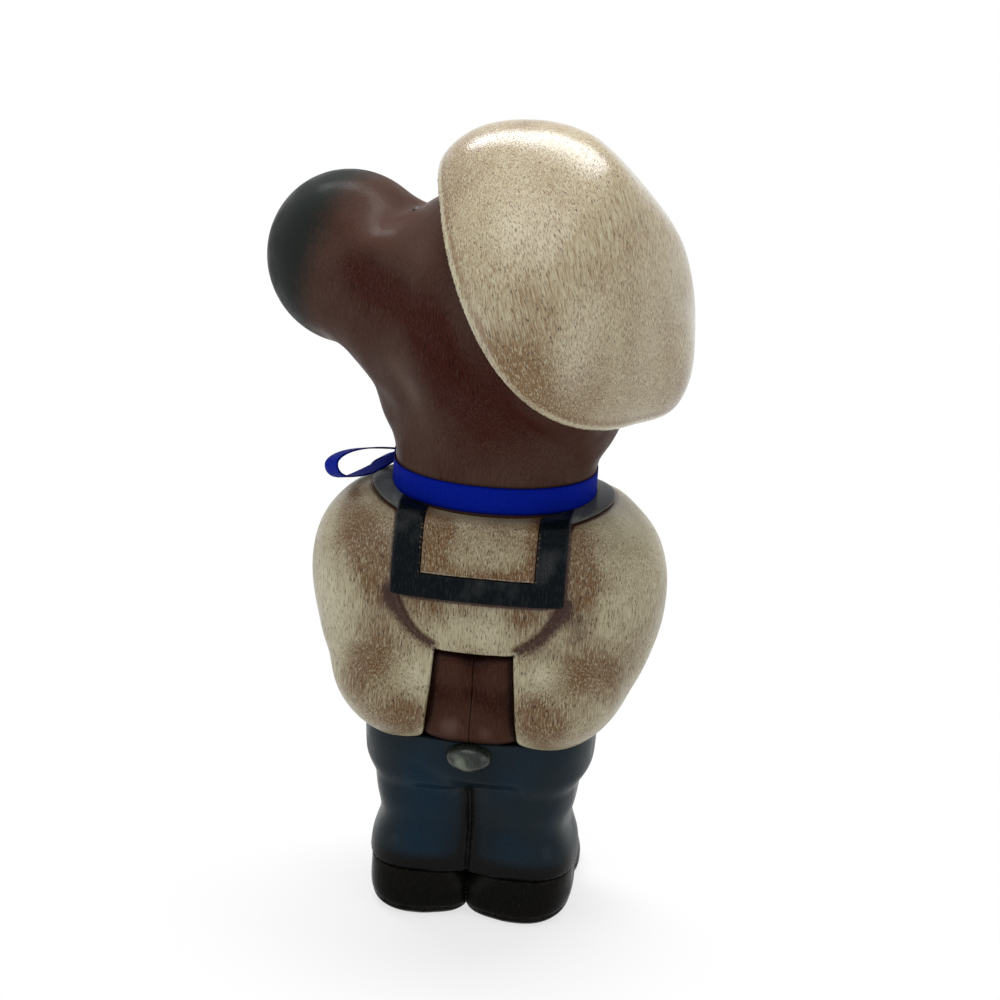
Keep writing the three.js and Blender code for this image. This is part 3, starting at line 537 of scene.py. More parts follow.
# The stain and glaze colours also serve as painted shade, and the rubbed colour as painted highlight, where
# pieces mark them.
def varnished(name, colour, rubbed_and_lit, stain_and_shade, glaze, pores, hollows, stain_and_shade_depth, streaks, wear, roughness, coat,
              bump, wide=1.0, streak=None, lean=(0.0, 0.0, 0.0), gloss_change=0.12, sheen=0.22):
    """A painted and varnished wood: its colours, how deep each mark is, and the varnish."""
    material, tree = new_material(name)
    antique = add_node(tree, "ShaderNodeGroup", {
        "Paint": paint(*colour), "Rubbed and lit": paint(*rubbed_and_lit), "Stain and shade": paint(*stain_and_shade), "Glaze and shade": paint(*glaze),
        "Streak": paint(*(streak or rubbed_and_lit)), "Wide stain": wide, "Pore depth": pores, "Lean": lean,
        "Hollow depth": hollows, "Stain depth": stain_and_shade_depth, "Streak depth": streaks, "Edge wear": wear,
    }, node_tree=glaze_shade_group)
    cloudy = noise_of(tree, across=9.0, along=12.0, detail=3.0)
    gloss = spread(tree, cloudy, 0.3, 0.7, roughness - gloss_change, roughness + gloss_change)
    relief = add_node(tree, "ShaderNodeBump", {
        "Height": antique.outputs["Height"], "Strength": 1.0, "Distance": bump * MM,
    }).outputs[0]
    skin = add_node(tree, "ShaderNodeBsdfPrincipled", {
        "Base Color": antique.outputs["Color"], "Roughness": gloss, "Normal": relief, "Coat Normal": relief,
        "Specular IOR Level": sheen, "Coat Weight": coat, "Coat Roughness": 0.13,
    })
    add_node(tree, "ShaderNodeOutputMaterial", {"Surface": skin.outputs[0]})
    return material, tree, antique, skin


def finish_piece(shape, material, slot, *nodes):
    """Paints a piece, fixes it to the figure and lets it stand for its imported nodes."""
    shape.data.materials.clear()
    shape.data.materials.append(material)
    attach(shape, "root")
    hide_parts(*nodes)


black_paint, *_ = varnished(
    "black_shoe_paint", (9, 10, 9), rubbed_and_lit=(48, 42, 35), stain_and_shade=(25, 19, 13), glaze=(4, 4, 4), pores=0.4,
    hollows=0.5, stain_and_shade_depth=0.4, streaks=0.25, wear=0.5, roughness=0.32, coat=0.03, bump=0.05, sheen=0.02,
)
for side, node in ((1, "left_shoe"), (-1, "right_shoe")):
    solid = shoe_form(side)
    middle = side * shoe_spread
    low = (middle - shoe_half_width - 2, -toe_forward - toe_length - 2, -1.3)
    shoe = carve(node + "_carved", solid, low, (middle + shoe_half_width + 2, 36, shoe_height + 2), cell=0.9)
    note_hollows_and_edges(shoe, solid)
    finish_piece(shoe, black_paint, "black_gloss", node)


# Trousers
# The hip block divides into two flared legs, with a knife-cut split down the back and front and
# a shallow fold under the seat. Blue-black paint, varnished, a little rubbed.

trouser_top = 76.0
trouser_half_width = 44.0
trouser_squareness = 2.4
trouser_shares = [
    (0.2, 0.8, 0.7), (0.55, 0.93, 0.86), (0.75, 0.965, 0.96), (0.9, 0.975, 0.99), (1.15, 0.97, 0.98),
]
seat_half_depth = 36.0
seat_back = 1.5
leg_spread = 19.3
leg_half_width = 21.0
leg_half_depth = 26.0
leg_back = 4.0
leg_squareness = 2.5
leg_shares = [
    (-0.1, 0.95, 1), (0.2, 0.96, 1.01), (0.32, 0.93, 0.99), (0.46, 0.8, 0.91), (0.6, 0.88, 1), (0.9, 1, 1.1),
]
leg_fillet = 5.0
leg_split_top = 53.0
leg_valley_top = 42.0
crotch_height = 56.0
fold_level = 57.5
fold_half_length = 14.0
hem_darkening = (26.0, 21.0)

hips = between(oval_block(
    trouser_shares, trouser_top, trouser_half_width, seat_half_depth, seat_back, trouser_squareness,
), crotch_height, trouser_top + cut_overrun, leg_fillet)
legs = [between(oval_block(
    leg_shares, trouser_top, leg_half_width, leg_half_depth, leg_back, leg_squareness, middle=middle,
), -cut_overrun, trouser_top, leg_fillet) for middle in (leg_spread, -leg_spread, 0.0)]
trouser_block = joined(hips, *legs, fillet=leg_fillet)


def seat_fold(points):
    """Distance from the fold that sags under the tail."""
    level = fold_level + 0.006 * (points[:, 0] + 5) ** 2 + 0.08 * points[:, 0]
    return np.hypot(points[:, 2] - level, 0.5 * np.maximum(np.abs(points[:, 0]) - fold_half_length, 0))


def middle_line(end, way=1, fading=1.0):
    """Distance from a line up the middle that runs out past its end, upward or downward."""
    return lambda points: np.hypot(points[:, 0], fading * np.maximum(way * (points[:, 2] - end), 0))


def dark_and_pale_spots(points, spots):
    """Soft round spots: a place, a radius and a strength, dark above zero and pale below; stains and rubbing,
    and painted shade and painted highlights.
    """
    total = np.zeros(len(points))
    for *place, radius, strength in spots:
        near = ((points - place) ** 2).sum(axis=1) / radius ** 2
        total += strength * np.exp(-near)
    return total


def line_mark(distance, width):
    """A soft line that fades over a width."""
    return np.exp(-(distance / width) ** 2)


def ramp(values, start, end):
    """0 up to a start and 1 from an end, with a straight run between."""
    return np.clip((values - start) / (end - start), 0, 1)


leg_split = middle_line(leg_split_top)
rounded_legs = groove(trouser_block, middle_line(leg_valley_top, fading=0.7), half_width=7.5, depth=2.2)
parted_legs = groove(rounded_legs, leg_split, half_width=1.0, depth=1.2)
folded = groove(parted_legs, seat_fold, half_width=3.0, depth=0.9)
trouser_form = between(folded, shoe_height + glue_line, trouser_top, 0.25)
trouser_paint, *_ = varnished(
    "blue_black_trouser_paint", (22, 32, 37), rubbed_and_lit=(66, 74, 72), stain_and_shade=(6, 36, 54), glaze=(9, 9, 8),
    streak=(34, 45, 50), pores=0.2, hollows=1.4, stain_and_shade_depth=0.9, streaks=0.25, wear=0.15, wide=0.0,
    roughness=0.34, coat=0.08, bump=0.05, gloss_change=0.08, sheen=0.05,
)
low = (-trouser_half_width - 3, -seat_half_depth - 3, shoe_height - 1)
high = (trouser_half_width + 3, seat_half_depth + 4, trouser_top + 2)
trousers = carve("trousers_carved", trouser_form, low, high, cell=0.9)
cloth_points = note_hollows_and_edges(trousers, trouser_form)
# Dark spots are blue patches in the paint; pale spots below zero on the flares and hips are rubbed wear and
# partly painted reflection.
note(trousers, "stain_and_shade", dark_and_pale_spots(cloth_points, [
    (17, 33, 60, 11, 0.7), (14.4, 30.7, 48.3, 10, 0.8), (16, 30, 32, 9, 0.8), (-17, 30, 30, 8, 0.7),
    (-14, 33, 60, 9, 0.4), (37, 12, 31, 9, -0.9), (-37, 12, 34, 9, -1), (39, 12, 66, 12, -0.35),
    (-39, 12, 66, 12, -0.4),
]))
# Painted shade: under the tail at the seat, and down between the legs.
shaded = dark_and_pale_spots(cloth_points, [
    (-4.5, 37.2, 61.8, 9, 0.5), (3, 30, 44, 8, 0.3), (-7, 30, 38, 8, 0.35), (0, 28, 26, 9, 0.7),
])
# Painted shade down the split between the legs, and the trousers darker towards the hem.
split_shade = line_mark(leg_split(cloth_points), 2.6)
note(trousers, "shade_and_darkening", 0.7 * shaded + 1.2 * split_shade + ramp(cloth_points[:, 2], *hem_darkening))
finish_piece(trousers, trouser_paint, "trouser_paint", "trousers")


# Tail
# A small turned nub on a peg, let into the seat just under the blouse; it is dipped in thick
# grey-green gloss.

tail_radii = (8.6, 6.0, 5.4)
tail_level = 70.8


def cast_out(form, start, way, steps=70):
    """Distance from points inside a form to its skin along directions."""
    start, way = np.atleast_2d(start), np.atleast_2d(way)
    reach = np.zeros(len(start))
    for _ in range(steps):
        reach -= form(start + reach[:, None] * way)
    return reach


tail_place = np.array([0, cast_out(trouser_block, (0, 0, tail_level), (0, 1, 0))[0], tail_level])
tail_form = egg(tail_place, tail_radii)
tail_paint, *_ = varnished(
    "grey_green_gloss", (30, 37, 32), rubbed_and_lit=(112, 120, 104), stain_and_shade=(10, 13, 12), glaze=(6, 8, 7), pores=0.1,
    hollows=0.5, stain_and_shade_depth=0.9, streaks=0.2, wear=0.1, wide=0.0, roughness=0.22, coat=0.4, bump=0.02,
    gloss_change=0.08, sheen=0.15,
)
tail = carve("tail_nub", tail_form, tail_place - 10, tail_place + 10, cell=0.5)
tail_points = note_hollows_and_edges(tail, tail_form)
# Pale spots below zero are painted highlight streaks on the gloss; the dark spots darken the paint.
note(tail, "stain_and_shade", dark_and_pale_spots(tail_points - tail_place, [
    (2.5, 5, 0, 2.4, -1), (0, 4, -3.6, 3, -0.7), (-3.5, 5, 1, 2.6, 1), (7, 2, 0, 2.4, 0.8),
]))
finish_piece(tail, tail_paint, "trouser_paint", "tail_knob")


# Blouse
# One carved block for the back, the shoulders and the full sleeves that come round behind. It is
# cream paint over a ground, waxed dark in every hollow and rubbed back on the swells; the dark in
# the hollows is also painted shade and the pale swells also painted highlights.

blouse_hem = 62.0
shoulder_top = 167.0
blouse_half_width = 64.0
blouse_half_depth = 38.5
blouse_back = 1.0
blouse_squareness = 2.4
blouse_fillet = 7.0
blouse_shares = [
    (0, 0.63, 0.84), (0.03, 0.645, 0.87), (0.08, 0.68, 0.92), (0.16, 0.755, 0.98), (0.25, 0.85, 1.02),
    (0.37, 0.94, 1.03), (0.48, 0.985, 1.02), (0.6, 1, 1.01), (0.71, 0.99, 0.99), (0.81, 0.94, 0.95),
    (0.89, 0.84, 0.89), (0.94, 0.74, 0.83), (0.98, 0.62, 0.74), (1, 0.5, 0.62),
]
forearm = np.array([29.5, 18.0, 93.0])
forearm_radii = (27.0, 27.0, 21.0)
sleeve_slope = np.radians(36.0)
shoulder = np.array([43.5, 4.0, 130.0])
shoulder_radii = (19.0, 27.0, 27.0)
shoulder_tilt = 2.0
spine_bulge = egg((0.0, 11.5, 119.0), (24.0, 30.0, 17.0))
crease_fillet = 3.0
crease_marks = np.array([(31.0, 132.0), (28.0, 125.5), (24.5, 120.5), (20.5, 116.8), (15.5, 114.0)])
crease_front = 10.0
ribbon_low = 162.0
ribbon_gap = 0.35
collar_proud = 2.6
collar_lip = 3.5
yoke_half_width = 44.5
yoke_half_depth = 36.0
paw_top = 112.5
paw_bottom = trouser_top + glue_line
paw_top_half_width = 14.2
paw_bottom_half_width = 17.2
paw_recess_floor = 27.0


def about_y(angle):
    """A turn about the front-to-back axis."""
    return np.array([
        [np.cos(angle), 0, np.sin(angle)], [0, 1, 0], [-np.sin(angle), 0, np.cos(angle)],
    ])


def lip_rise(points):
    return collar_lip * np.minimum(1, np.abs(points[:, 0]) / yoke_half_width) ** 3


neckline = ribbon_low - ribbon_gap - collar_proud - glue_line
torso = between(oval_block(
    blouse_shares, shoulder_top - blouse_hem, blouse_half_width, blouse_half_depth, blouse_back,
    blouse_squareness, foot=blouse_hem,
), blouse_hem, neckline, blouse_fillet / 2, lip_rise)
forearms = [egg(forearm * (side, 1, 1), forearm_radii, about_y(-side * sleeve_slope)) for side in (1, -1)]
shoulders = [egg(shoulder * (side, 1, 1) + (0, 0, side * shoulder_tilt), shoulder_radii) for side in (1, -1)]
upper_block = joined(torso, *shoulders, fillet=blouse_fillet)
blouse_block = joined(upper_block, *forearms, spine_bulge, fillet=crease_fillet)


def paw_recess(points, clearance=0.0):
    """The tapered pocket between the cuffs."""
    share = (points[:, 2] - paw_bottom) / (paw_top - paw_bottom)
    half = paw_bottom_half_width + share * (paw_top_half_width - paw_bottom_half_width)
    aside = np.abs(points[:, 0]) - half + clearance
    tall = np.maximum(paw_bottom - points[:, 2], points[:, 2] - paw_top) + clearance
    return np.maximum(np.maximum(aside, tall), paw_recess_floor + clearance - points[:, 1])


def flap_corner_track(points):
    """Distance from the curved fold that runs from a flap corner down to the cuff."""
    spot = np.stack([np.abs(points[:, 0]), points[:, 2]], axis=1)
    gap = np.full(len(points), np.inf)
    for start, end in zip(crease_marks[:-1], crease_marks[1:]):
        along = end - start
        share = np.clip((spot - start) @ along / (along @ along), 0, 1)
        gap = np.minimum(gap, np.linalg.norm(spot - start - share[:, None] * along, axis=1))
    return gap + np.maximum(crease_front - points[:, 1], 0)


def without(form, hole, edge):
    """A form with another cut out of it."""
    return trimmed(form, flipped(hole), edge=edge)


def grown(form, by):
    return lambda points: form(points) - by


creased = groove(blouse_block, flap_corner_track, half_width=2.5, depth=2.0)
pocketed = without(creased, paw_recess, edge=0.8)
blouse_form = without(pocketed, grown(trouser_block, glue_line), edge=2.6)
cream_blouse, *_ = varnished(
    "antiqued_cream_blouse", (160, 151, 122), rubbed_and_lit=(190, 183, 156), stain_and_shade=(94, 62, 20), glaze=(54, 22, 6),
    pores=0.75, hollows=1.25, stain_and_shade_depth=1.0, streaks=0.5, wear=0.4, wide=0.8,
    roughness=0.42, coat=0.25, bump=0.12,
)


# Sailor collar
# A thin navy-painted collar glued on the shoulders: a ring round the neck, a square flap with a
# border behind and two lapels that meet in a point in front. Its edges are rubbed pale.

flap_half_width = 31.0
flap_bottom = 132.5
flap_border = 10.4
flap_bottom_border = 8.8
lapel_point = 112.0
lapel_border = 11.0
collar_underside = 146.0
collar_seat = 0.1
collar_ring_thinning = 1.3
thin_edge = 0.45
neck_half_width = 36.4
neck_half_depth = 28.6
neck_squareness = 2.1
neck_foot = 158.0
neck_top = 196.0
head_fillet = 12.0
neck_root = neck_foot - 2 * head_fillet
panel_half_width = flap_half_width - flap_border
panel_bottom = flap_bottom + flap_bottom_border

neck = between(oval_block(
    [(0, 1, 1), (1, 1, 1)], neck_top - neck_root, neck_half_width, neck_half_depth, 0.0, neck_squareness,
    foot=neck_root,
), neck_root, neck_top, head_fillet)


def yoke(points):
    ring = np.hypot(points[:, 0] / yoke_half_width, (points[:, 1] - blouse_back) / yoke_half_depth)
    return np.maximum((ring - 1) * yoke_half_depth, collar_underside - points[:, 2])


def back_square(half_width, low):
    def form(points):
        tall = low - points[:, 2]
        return np.maximum(np.maximum(np.abs(points[:, 0]) - half_width, tall), -points[:, 1])

    return form


def front_point(half_width, low):
    """The V of the lapels, or of the opening between them."""
    steep = (collar_underside - low) / half_width

    def form(points):
        aside = np.abs(points[:, 0])
        vee = (low + steep * aside - points[:, 2]) / np.hypot(steep, 1)
        return np.maximum(np.maximum(vee, aside - half_width), points[:, 1])

    return form


def fewest(*forms):
    return lambda points: np.minimum.reduce([form(points) for form in forms])


flap = back_square(flap_half_width, flap_bottom)
panel_field = back_square(panel_half_width, panel_bottom)


def collar_layer(points):
    """The layer on the blouse that the collar fills: proud at the flap, thinner round the ring."""
    off_flap = ramp(flap(points), 0, 3)
    near_border = ramp(yoke(points), -7, 0)
    height = collar_proud - collar_seat - collar_ring_thinning * off_flap * near_border
    lift = blouse_block(points)
    return np.maximum(lift - height, collar_seat - lift)


collar_outline = fewest(yoke, flap, front_point(flap_half_width, lapel_point))
collar_opening = fewest(panel_field, front_point(flap_half_width - lapel_border, lapel_point + lapel_border))
collar_sheet = trimmed(collar_layer, collar_outline, edge=0.9)
collar_form = without(without(collar_sheet, collar_opening, edge=0.5), grown(neck, glue_line), edge=0.5)
navy_paint, *_ = varnished(
    "navy_collar_paint", (3, 9, 14), rubbed_and_lit=(134, 118, 86), stain_and_shade=(90, 92, 92), glaze=(3, 5, 7),
    streak=(24, 34, 38), pores=0.3, hollows=0.2, stain_and_shade_depth=0.95, streaks=0.12, wear=0.7, wide=0.0,
    roughness=0.28, coat=0.08, bump=0.05, sheen=0.02,
)
collar = carve("sailor_collar_carved", collar_form, (-48, -46, 108), (48, 47, 168), cell=0.6)
collar_points = note_hollows_and_edges(collar, collar_form, edge_reach=thin_edge)
slate_ring = ramp(flap(collar_points), -0.4, 0.4) * ramp(collar_points[:, 2], 150, 156)
note(collar, "stain_and_shade", 1.1 * slate_ring - 0.1 + dark_and_pale_spots(collar_points, [
    (26, 36, 152, 5, 0.12), (27, 38, 139, 4, 0.1), (-26, 38, 150, 4, 0.12),
]))
finish_piece(collar, navy_paint, "navy_paint", "sailor_collar")


# Collar panel
# The cream field inside the flap's border, a separate thin panel let in flush, with brown wax
# gathered along its edges.

panel_sunk = 0.55


def panel_layer(points):
    lift = blouse_block(points)
    return np.maximum(lift - (collar_proud - panel_sunk), collar_seat - lift)


panel_sheet = trimmed(panel_layer, grown(panel_field, -0.1), edge=0.5)
panel_form = without(panel_sheet, grown(neck, glue_line), edge=0.3)
panel = carve("collar_panel_carved", panel_form, (-24, 18, 138), (24, 47, 164), cell=0.6)
panel_points = note_hollows_and_edges(panel, panel_form, [collar_form], edge_reach=thin_edge)
note(panel, "stain_and_shade", line_mark(panel_field(panel_points), 3.8) + 1.2 * dark_and_pale_spots(panel_points, [
    (16, 36, 152, 6.5, 0.8), (14, 38, 144, 5, 0.7), (-15, 38, 145, 5, 0.6), (0, 37, 150, 9, 0.12),
    (15, 35, 158, 7, 0.8), (-14, 35, 157, 6, 0.5), (0, 34, 159, 9, 0.35),
]))
finish_piece(panel, cream_blouse, "cream_paint", "collar_panel")


# Blouse, carved and waxed
# The blouse's block is carved here, once the collar's form is known, because dark wax gathers along
# the collar's edge, where painted shade falls too. Its brown stains, painted shade in the folds and
# under the flap, and painted highlights on the swells follow those on the back and the sleeves.

blouse = carve("blouse_carved", blouse_form, (-68, -44, 58), (68, 50, 165), cell=0.9)
blouse_points = note_hollows_and_edges(blouse, blouse_form, [collar_form])
# Brown stains near the collar, and painted shade under the flap's lower edge and below the forearm ridges;
# pale spots below zero are painted highlights on the back's swell, the sleeve edges and the forearm ridges.
note(blouse, "stain_and_shade", 1.25 * dark_and_pale_spots(blouse_points, [
    (40.4, 32.5, 143, 9, 0.9), (35.2, 35.2, 133.4, 7, 0.8), (48.9, 13, 158.3, 8, 0.7),
    (44, 26, 152, 8, 0.5), (-33, 32.2, 151.2, 6, 0.8), (-34, 28, 156, 5, 0.7), (-34.2, 35, 136.7, 8, 1),
    (-37, 35, 144, 7, 0.6), (-43.7, 34.9, 107.8, 9, 0.8), (-22.8, 43.1, 93, 8, 0.9), (-30, 41, 88, 9, 0.5),
    (36.9, 36.5, 110.3, 8, 0.5), (40.4, 39.9, 101.9, 8, 0.5), (22, 42, 88, 6, 0.5), (0, 41, 131, 7, 0.5),
    (18, 40, 130, 7, 0.6), (-18, 40, 130, 7, 0.6), (-3.5, 40.5, 122.6, 10, -0.55),
    (54.1, 28, 128.7, 14, -0.8), (-48.8, 31.1, 131.1, 12, -0.5), (-25.3, 40.2, 106.2, 6, -0.8),
    (19.8, 41.1, 99.8, 7, -0.7), (-48, 12.1, 158.1, 8, -0.7), (52, 30, 110, 10, -0.4), (0, 39, 114, 5, 0.5),
    (42, 32, 138, 17, 0.4), (-40, 32, 136, 16, 0.35), (-38, 38, 108, 15, 0.3), (34, 38, 116, 12, 0.3),
    (33, 36, 96, 12, 0.3), (-56, 20, 110, 16, 0.15), (22, 42, 94, 10, 0.4), (26, 40, 82, 9, 0.4),
    (-24, 43, 84, 8, 0.4), (-14, 41, 128, 6, 0.3), (14, 41, 127, 6, 0.4), (20, 42, 104, 5, -0.4),
]))
# Painted shade down the fold from each flap corner, and in spots under the flap's corners.
fold_width = 1.1 + 1.9 * ramp(blouse_points[:, 2], 112, 130)
fold_shade = 1.3 * line_mark(flap_corner_track(blouse_points), fold_width)
note(blouse, "shade_and_darkening", fold_shade + dark_and_pale_spots(blouse_points, [
    (-31, 37, 128, 3.5, 0.5), (-22.5, 41, 116.5, 4, 0.7), (-36.5, 35.2, 126.9, 3, 0.6),
    (-36.5, 36, 121, 2.6, 0.4), (31.5, 36.5, 128.5, 4, 0.6),
]))
finish_piece(blouse, cream_blouse, "cream_paint", "blouse")


# Paws
# Two brown blocks side by side in the pocket between the cuffs, rounded to soft backs, with a
# dip across where the fingers curl under.

paw_face = 41.5
paw_round = 5.0
paw_wide_share = 1.25
paw_squareness = 2.4
paw_clearance = 0.08
paw_parting = 0.04
knuckle_level = 92.0
# Each row has a level in millimetres, and shares of the half width and the depth.
paw_rows = [
    (74, 1, 0.9), (81, 1, 1.02), (87, 1, 1.04), (92, 1, 0.97), (96, 1, 0.89), (101, 1, 0.93), (106, 1, 0.93),
    (114, 1, 0.84),
]
brown_paws, *_ = varnished(
    "brown_paw_stain", (60, 36, 26), rubbed_and_lit=(92, 70, 60), stain_and_shade=(44, 13, 5), glaze=(20, 8, 5), pores=0.25,
    hollows=0.8, stain_and_shade_depth=1.0, streaks=0.2, wear=0.1, wide=0.3,
    roughness=0.34, coat=0.06, bump=0.05, sheen=0.02,
)


def paw_pocket(points):
    return paw_recess(points, paw_clearance)


paw_valley = middle_line(knuckle_level, way=-1, fading=0.5)
paw_backs = groove(between(oval_block(
    paw_rows, height=1.0, half_width=paw_bottom_half_width * paw_wide_share,
    half_depth=paw_face - paw_recess_floor, back=paw_recess_floor, squareness=paw_squareness,
), paw_bottom, paw_top, paw_round), paw_valley, half_width=4.5, depth=2.0)


def paw_half(side):
    def beside(points):
        return paw_parting - side * points[:, 0]

    return trimmed(paw_backs, beside, paw_pocket, edge=0.12)


for side, node in ((1, "left_paw"), (-1, "right_paw")):
    form = paw_half(side)
    low = (min(0, side * 20) - 1, 25, 74)
    paw = carve(node + "_carved", form, low, (max(0, side * 20) + 1, 46, 115), cell=0.6)
    paw_points = note_hollows_and_edges(paw, form, [blouse_form])
    # Dark spots are painted shade across the finger dip and under the blouse at the top; pale spots below
    # zero are painted highlights on the knuckles and the backs.
    note(paw, "stain_and_shade", dark_and_pale_spots(paw_points, [
        (-1, 40, 96, 4.5, 1), (-9, 39, 94, 6, 0.9), (9, 38, 96, 5, 0.8), (12, 36, 91, 5, 0.6),
        (0, 36, 112, 9, 0.8), (-12, 36, 88, 4, 0.5), (7, 41, 84, 4.5, -0.9), (-6, 41, 83, 4, -0.6),
        (7, 39, 103, 4.5, -0.5), (-7, 39, 104, 4.5, -0.4),
    ]))
    # Painted shade at the bottom, where the paws meet the trousers.
    note(paw, "shade_and_darkening", 0.8 * ramp(paw_points[:, 2], 80, 77))
    finish_piece(paw, brown_paws, "brown_finish", node)


# Head and neck
# One block for the skull, the big round muzzle and the neck that plugs into the blouse, turned
# to one side and lifted. Brown stain under varnish, with the end of the muzzle painted black.

head_turn = np.radians(67.0)
brow_fillet = 8.0
skull_place = (0.0, -5.0, 69.0)
muzzle_place = (0.0, 65.0, 79.0)
nose_reach = 51.2
cap_place = np.array([-16.0, 8.0, 240.8])
cap_heading = np.radians(28.0)
cap_pitch = np.radians(44.8)


def about_z(angle):
    """A turn about the upright axis."""
    return np.array([
        [np.cos(angle), -np.sin(angle), 0], [np.sin(angle), np.cos(angle), 0], [0, 0, 1],
    ])


head_way = about_z(head_turn)


def on_head(aside, forward, level):
    """A place on the turned head, its level measured from the neck's foot."""
    return head_way @ np.array([aside, -forward, neck_foot + level])


def swell(place, radii):
    return egg(on_head(*place), radii, head_way)


skull = swell(skull_place, (42.0, 55.0, 48.5))
jaw = swell((0.0, 29.0, 55.0), (25.0, 25.0, 25.0))
throat = swell((0.0, 32.5, 30.0), (14.0, 10.0, 9.0))
cheeks = [swell((aside, 40.0, 68.0), (17.0, 26.0, 20.0)) for aside in (14.0, -14.0)]
temples = [swell((aside, 42.0, 84.0), (14.0, 24.0, 13.0)) for aside in (16.0, -16.0)]
nape = egg((-26.8, 4.0, 192.0), (13.0, 13.0, 14.0))
muzzle = swell(muzzle_place, (29.0, 32.0, 32.0))
skull_block = joined(neck, skull, jaw, throat, nape, *cheeks, *temples, fillet=head_fillet)
head_block = joined(skull_block, muzzle, fillet=brow_fillet)

cap_axis = np.array([
    -np.cos(cap_pitch) * np.cos(cap_heading), np.cos(cap_pitch) * np.sin(cap_heading), np.sin(cap_pitch),
])
cap_up = unit(np.array([0.0, 0.0, 1.0]) - cap_axis * cap_axis[2])
cap_frame = np.stack([cap_up, np.cross(cap_axis, cap_up), cap_axis], axis=1)


def cheek_valley(points):
    """Distance from the long hollow that runs from the nose, under the cheekbone, to the nape."""
    local = (points - [0.0, 0.0, neck_foot]) @ head_way
    forward, level = -local[:, 1], local[:, 2]
    track = 82.0 + 0.28 * (forward - 30.0) - 0.012 * np.maximum(20.0 - forward, 0) ** 2
    off_end = np.maximum(forward - 60.0, 0)
    off_side = 1.5 * np.maximum(14.0 - np.abs(local[:, 0]), 0)
    return np.sqrt((level - track) ** 2 + off_side ** 2 + off_end ** 2)


def cap_level(points):
    """Height above the plane that the beret's underside lies in."""
    return (points - cap_place) @ cap_axis


def below_foot(points):
    return neck_foot - points[:, 2]


def nose_paint(points):
    """1 inside the black end of the muzzle, with a soft brushed border."""
    spot = points - on_head(*muzzle_place)
    reach = np.linalg.norm(spot, axis=1)
    ahead = spot @ unit(head_way @ np.array([0.0, -0.98, 0.19])) / np.maximum(reach, 1e-6)
    return ramp(ahead, -0.32, 0.32) * (reach < nose_reach)


hollowed = groove(head_block, cheek_valley, half_width=6.5, depth=1.5)
head_form = trimmed(hollowed, grown(cap_level, -glue_line), below_foot, edge=0.8)
head_material, head_tree, head_glaze_and_shade, head_skin = varnished(
    "brown_head_stain", (69, 48, 40), rubbed_and_lit=(98, 78, 69), stain_and_shade=(54, 17, 8), glaze=(20, 10, 6), pores=0.35,
    hollows=0.6, stain_and_shade_depth=1.0, streaks=0.2, wear=0.2, wide=0.6,
    roughness=0.42, coat=0.04, bump=0.05, sheen=0.03,
)
brushed = spread(head_tree, noise_of(head_tree, across=1.2, along=5.0, detail=3.0), 0.3, 0.7, -0.1, 0.1)
nose_share = spread(head_tree, maths(head_tree, "ADD", mark_of(head_tree, "nose"), brushed), 0.1, 0.9)
nosed = blend_of(head_tree, nose_share, head_glaze_and_shade.outputs["Color"], paint(32, 36, 34))
head_tree.links.new(nosed, head_skin.inputs["Base Color"])

head = carve("head_carved", head_form, (-58, -58, neck_foot - 1), (96, 50, 275), cell=1.0)
head_points = note_hollows_and_edges(head, head_form)
note(head, "nose", nose_paint(head_points))
# Dark spots are painted shade along the cheek's hollow under the cap and on the neck, with reddish stain in
# them; pale spots below zero are painted highlights on the muzzle's top and the cheek.
note(head, "stain_and_shade", dark_and_pale_spots(head_points, [
    (49, 9, 240.5, 9, 1), (42, 15, 239, 9, 1), (34.9, 22.8, 237, 9, 1), (26, 31, 231, 10, 0.9),
    (17.3, 37.3, 225.8, 10, 1), (11.6, 37.6, 210.1, 12, 1), (1.2, 40.8, 207.9, 12, 1), (2, 37, 196, 14, 0.7),
    (-16, 34, 192, 14, 0.5), (47, 2.3, 248.7, 5, -0.5), (38, 14, 246, 6, -0.6), (52, 10.8, 232.8, 8, -0.4),
    (34.1, 22.4, 211.7, 8, -0.5), (27.3, 24.4, 202.5, 7, -0.6), (24, 26, 190, 8, -0.4),
    (47.6, -10.5, 261.1, 8, -0.4), (26, 20, 250, 9, -0.5),
]))
finish_piece(head, head_material, "brown_finish", "head")


# Eyes
# Two small black glass beads on short stems, pressed into the brow above the muzzle.

eye_radius = 2.4
eye_sink = 1.6
bead, bead_tree = new_material("black_glass_bead")
bead_depth = spread(bead_tree, noise_of(bead_tree, across=1.2, along=1.2), 0.3, 0.7)
bead_skin = add_node(bead_tree, "ShaderNodeBsdfPrincipled", {
    "Base Color": blend_of(bead_tree, bead_depth, paint(9, 8, 8), paint(30, 20, 14)),
    "Roughness": 0.32, "Coat Weight": 0.08, "Specular IOR Level": 0.25,
})
add_node(bead_tree, "ShaderNodeOutputMaterial", {"Surface": bead_skin.outputs[0]})
for side, node in ((1, "left_eye"), (-1, "right_eye")):
    way = unit(head_way @ np.array([side * 0.1, -1.0, 0.8]))
    place = on_head(*skull_place)
    place = place + way * (cast_out(head_block, place, way)[0] - eye_sink)
    ball = egg(place, (eye_radius, eye_radius, eye_radius))
    finish_piece(carve(node + "_bead", ball, place - 3.5, place + 3.5, cell=0.35), bead, "black_gloss", node)


# Beret
# A big carved dome, flat underneath, with a thin upright edge; it leans back over the crown. The
# grain leans with the block, so its pores show as dots on top and as strokes lower down.

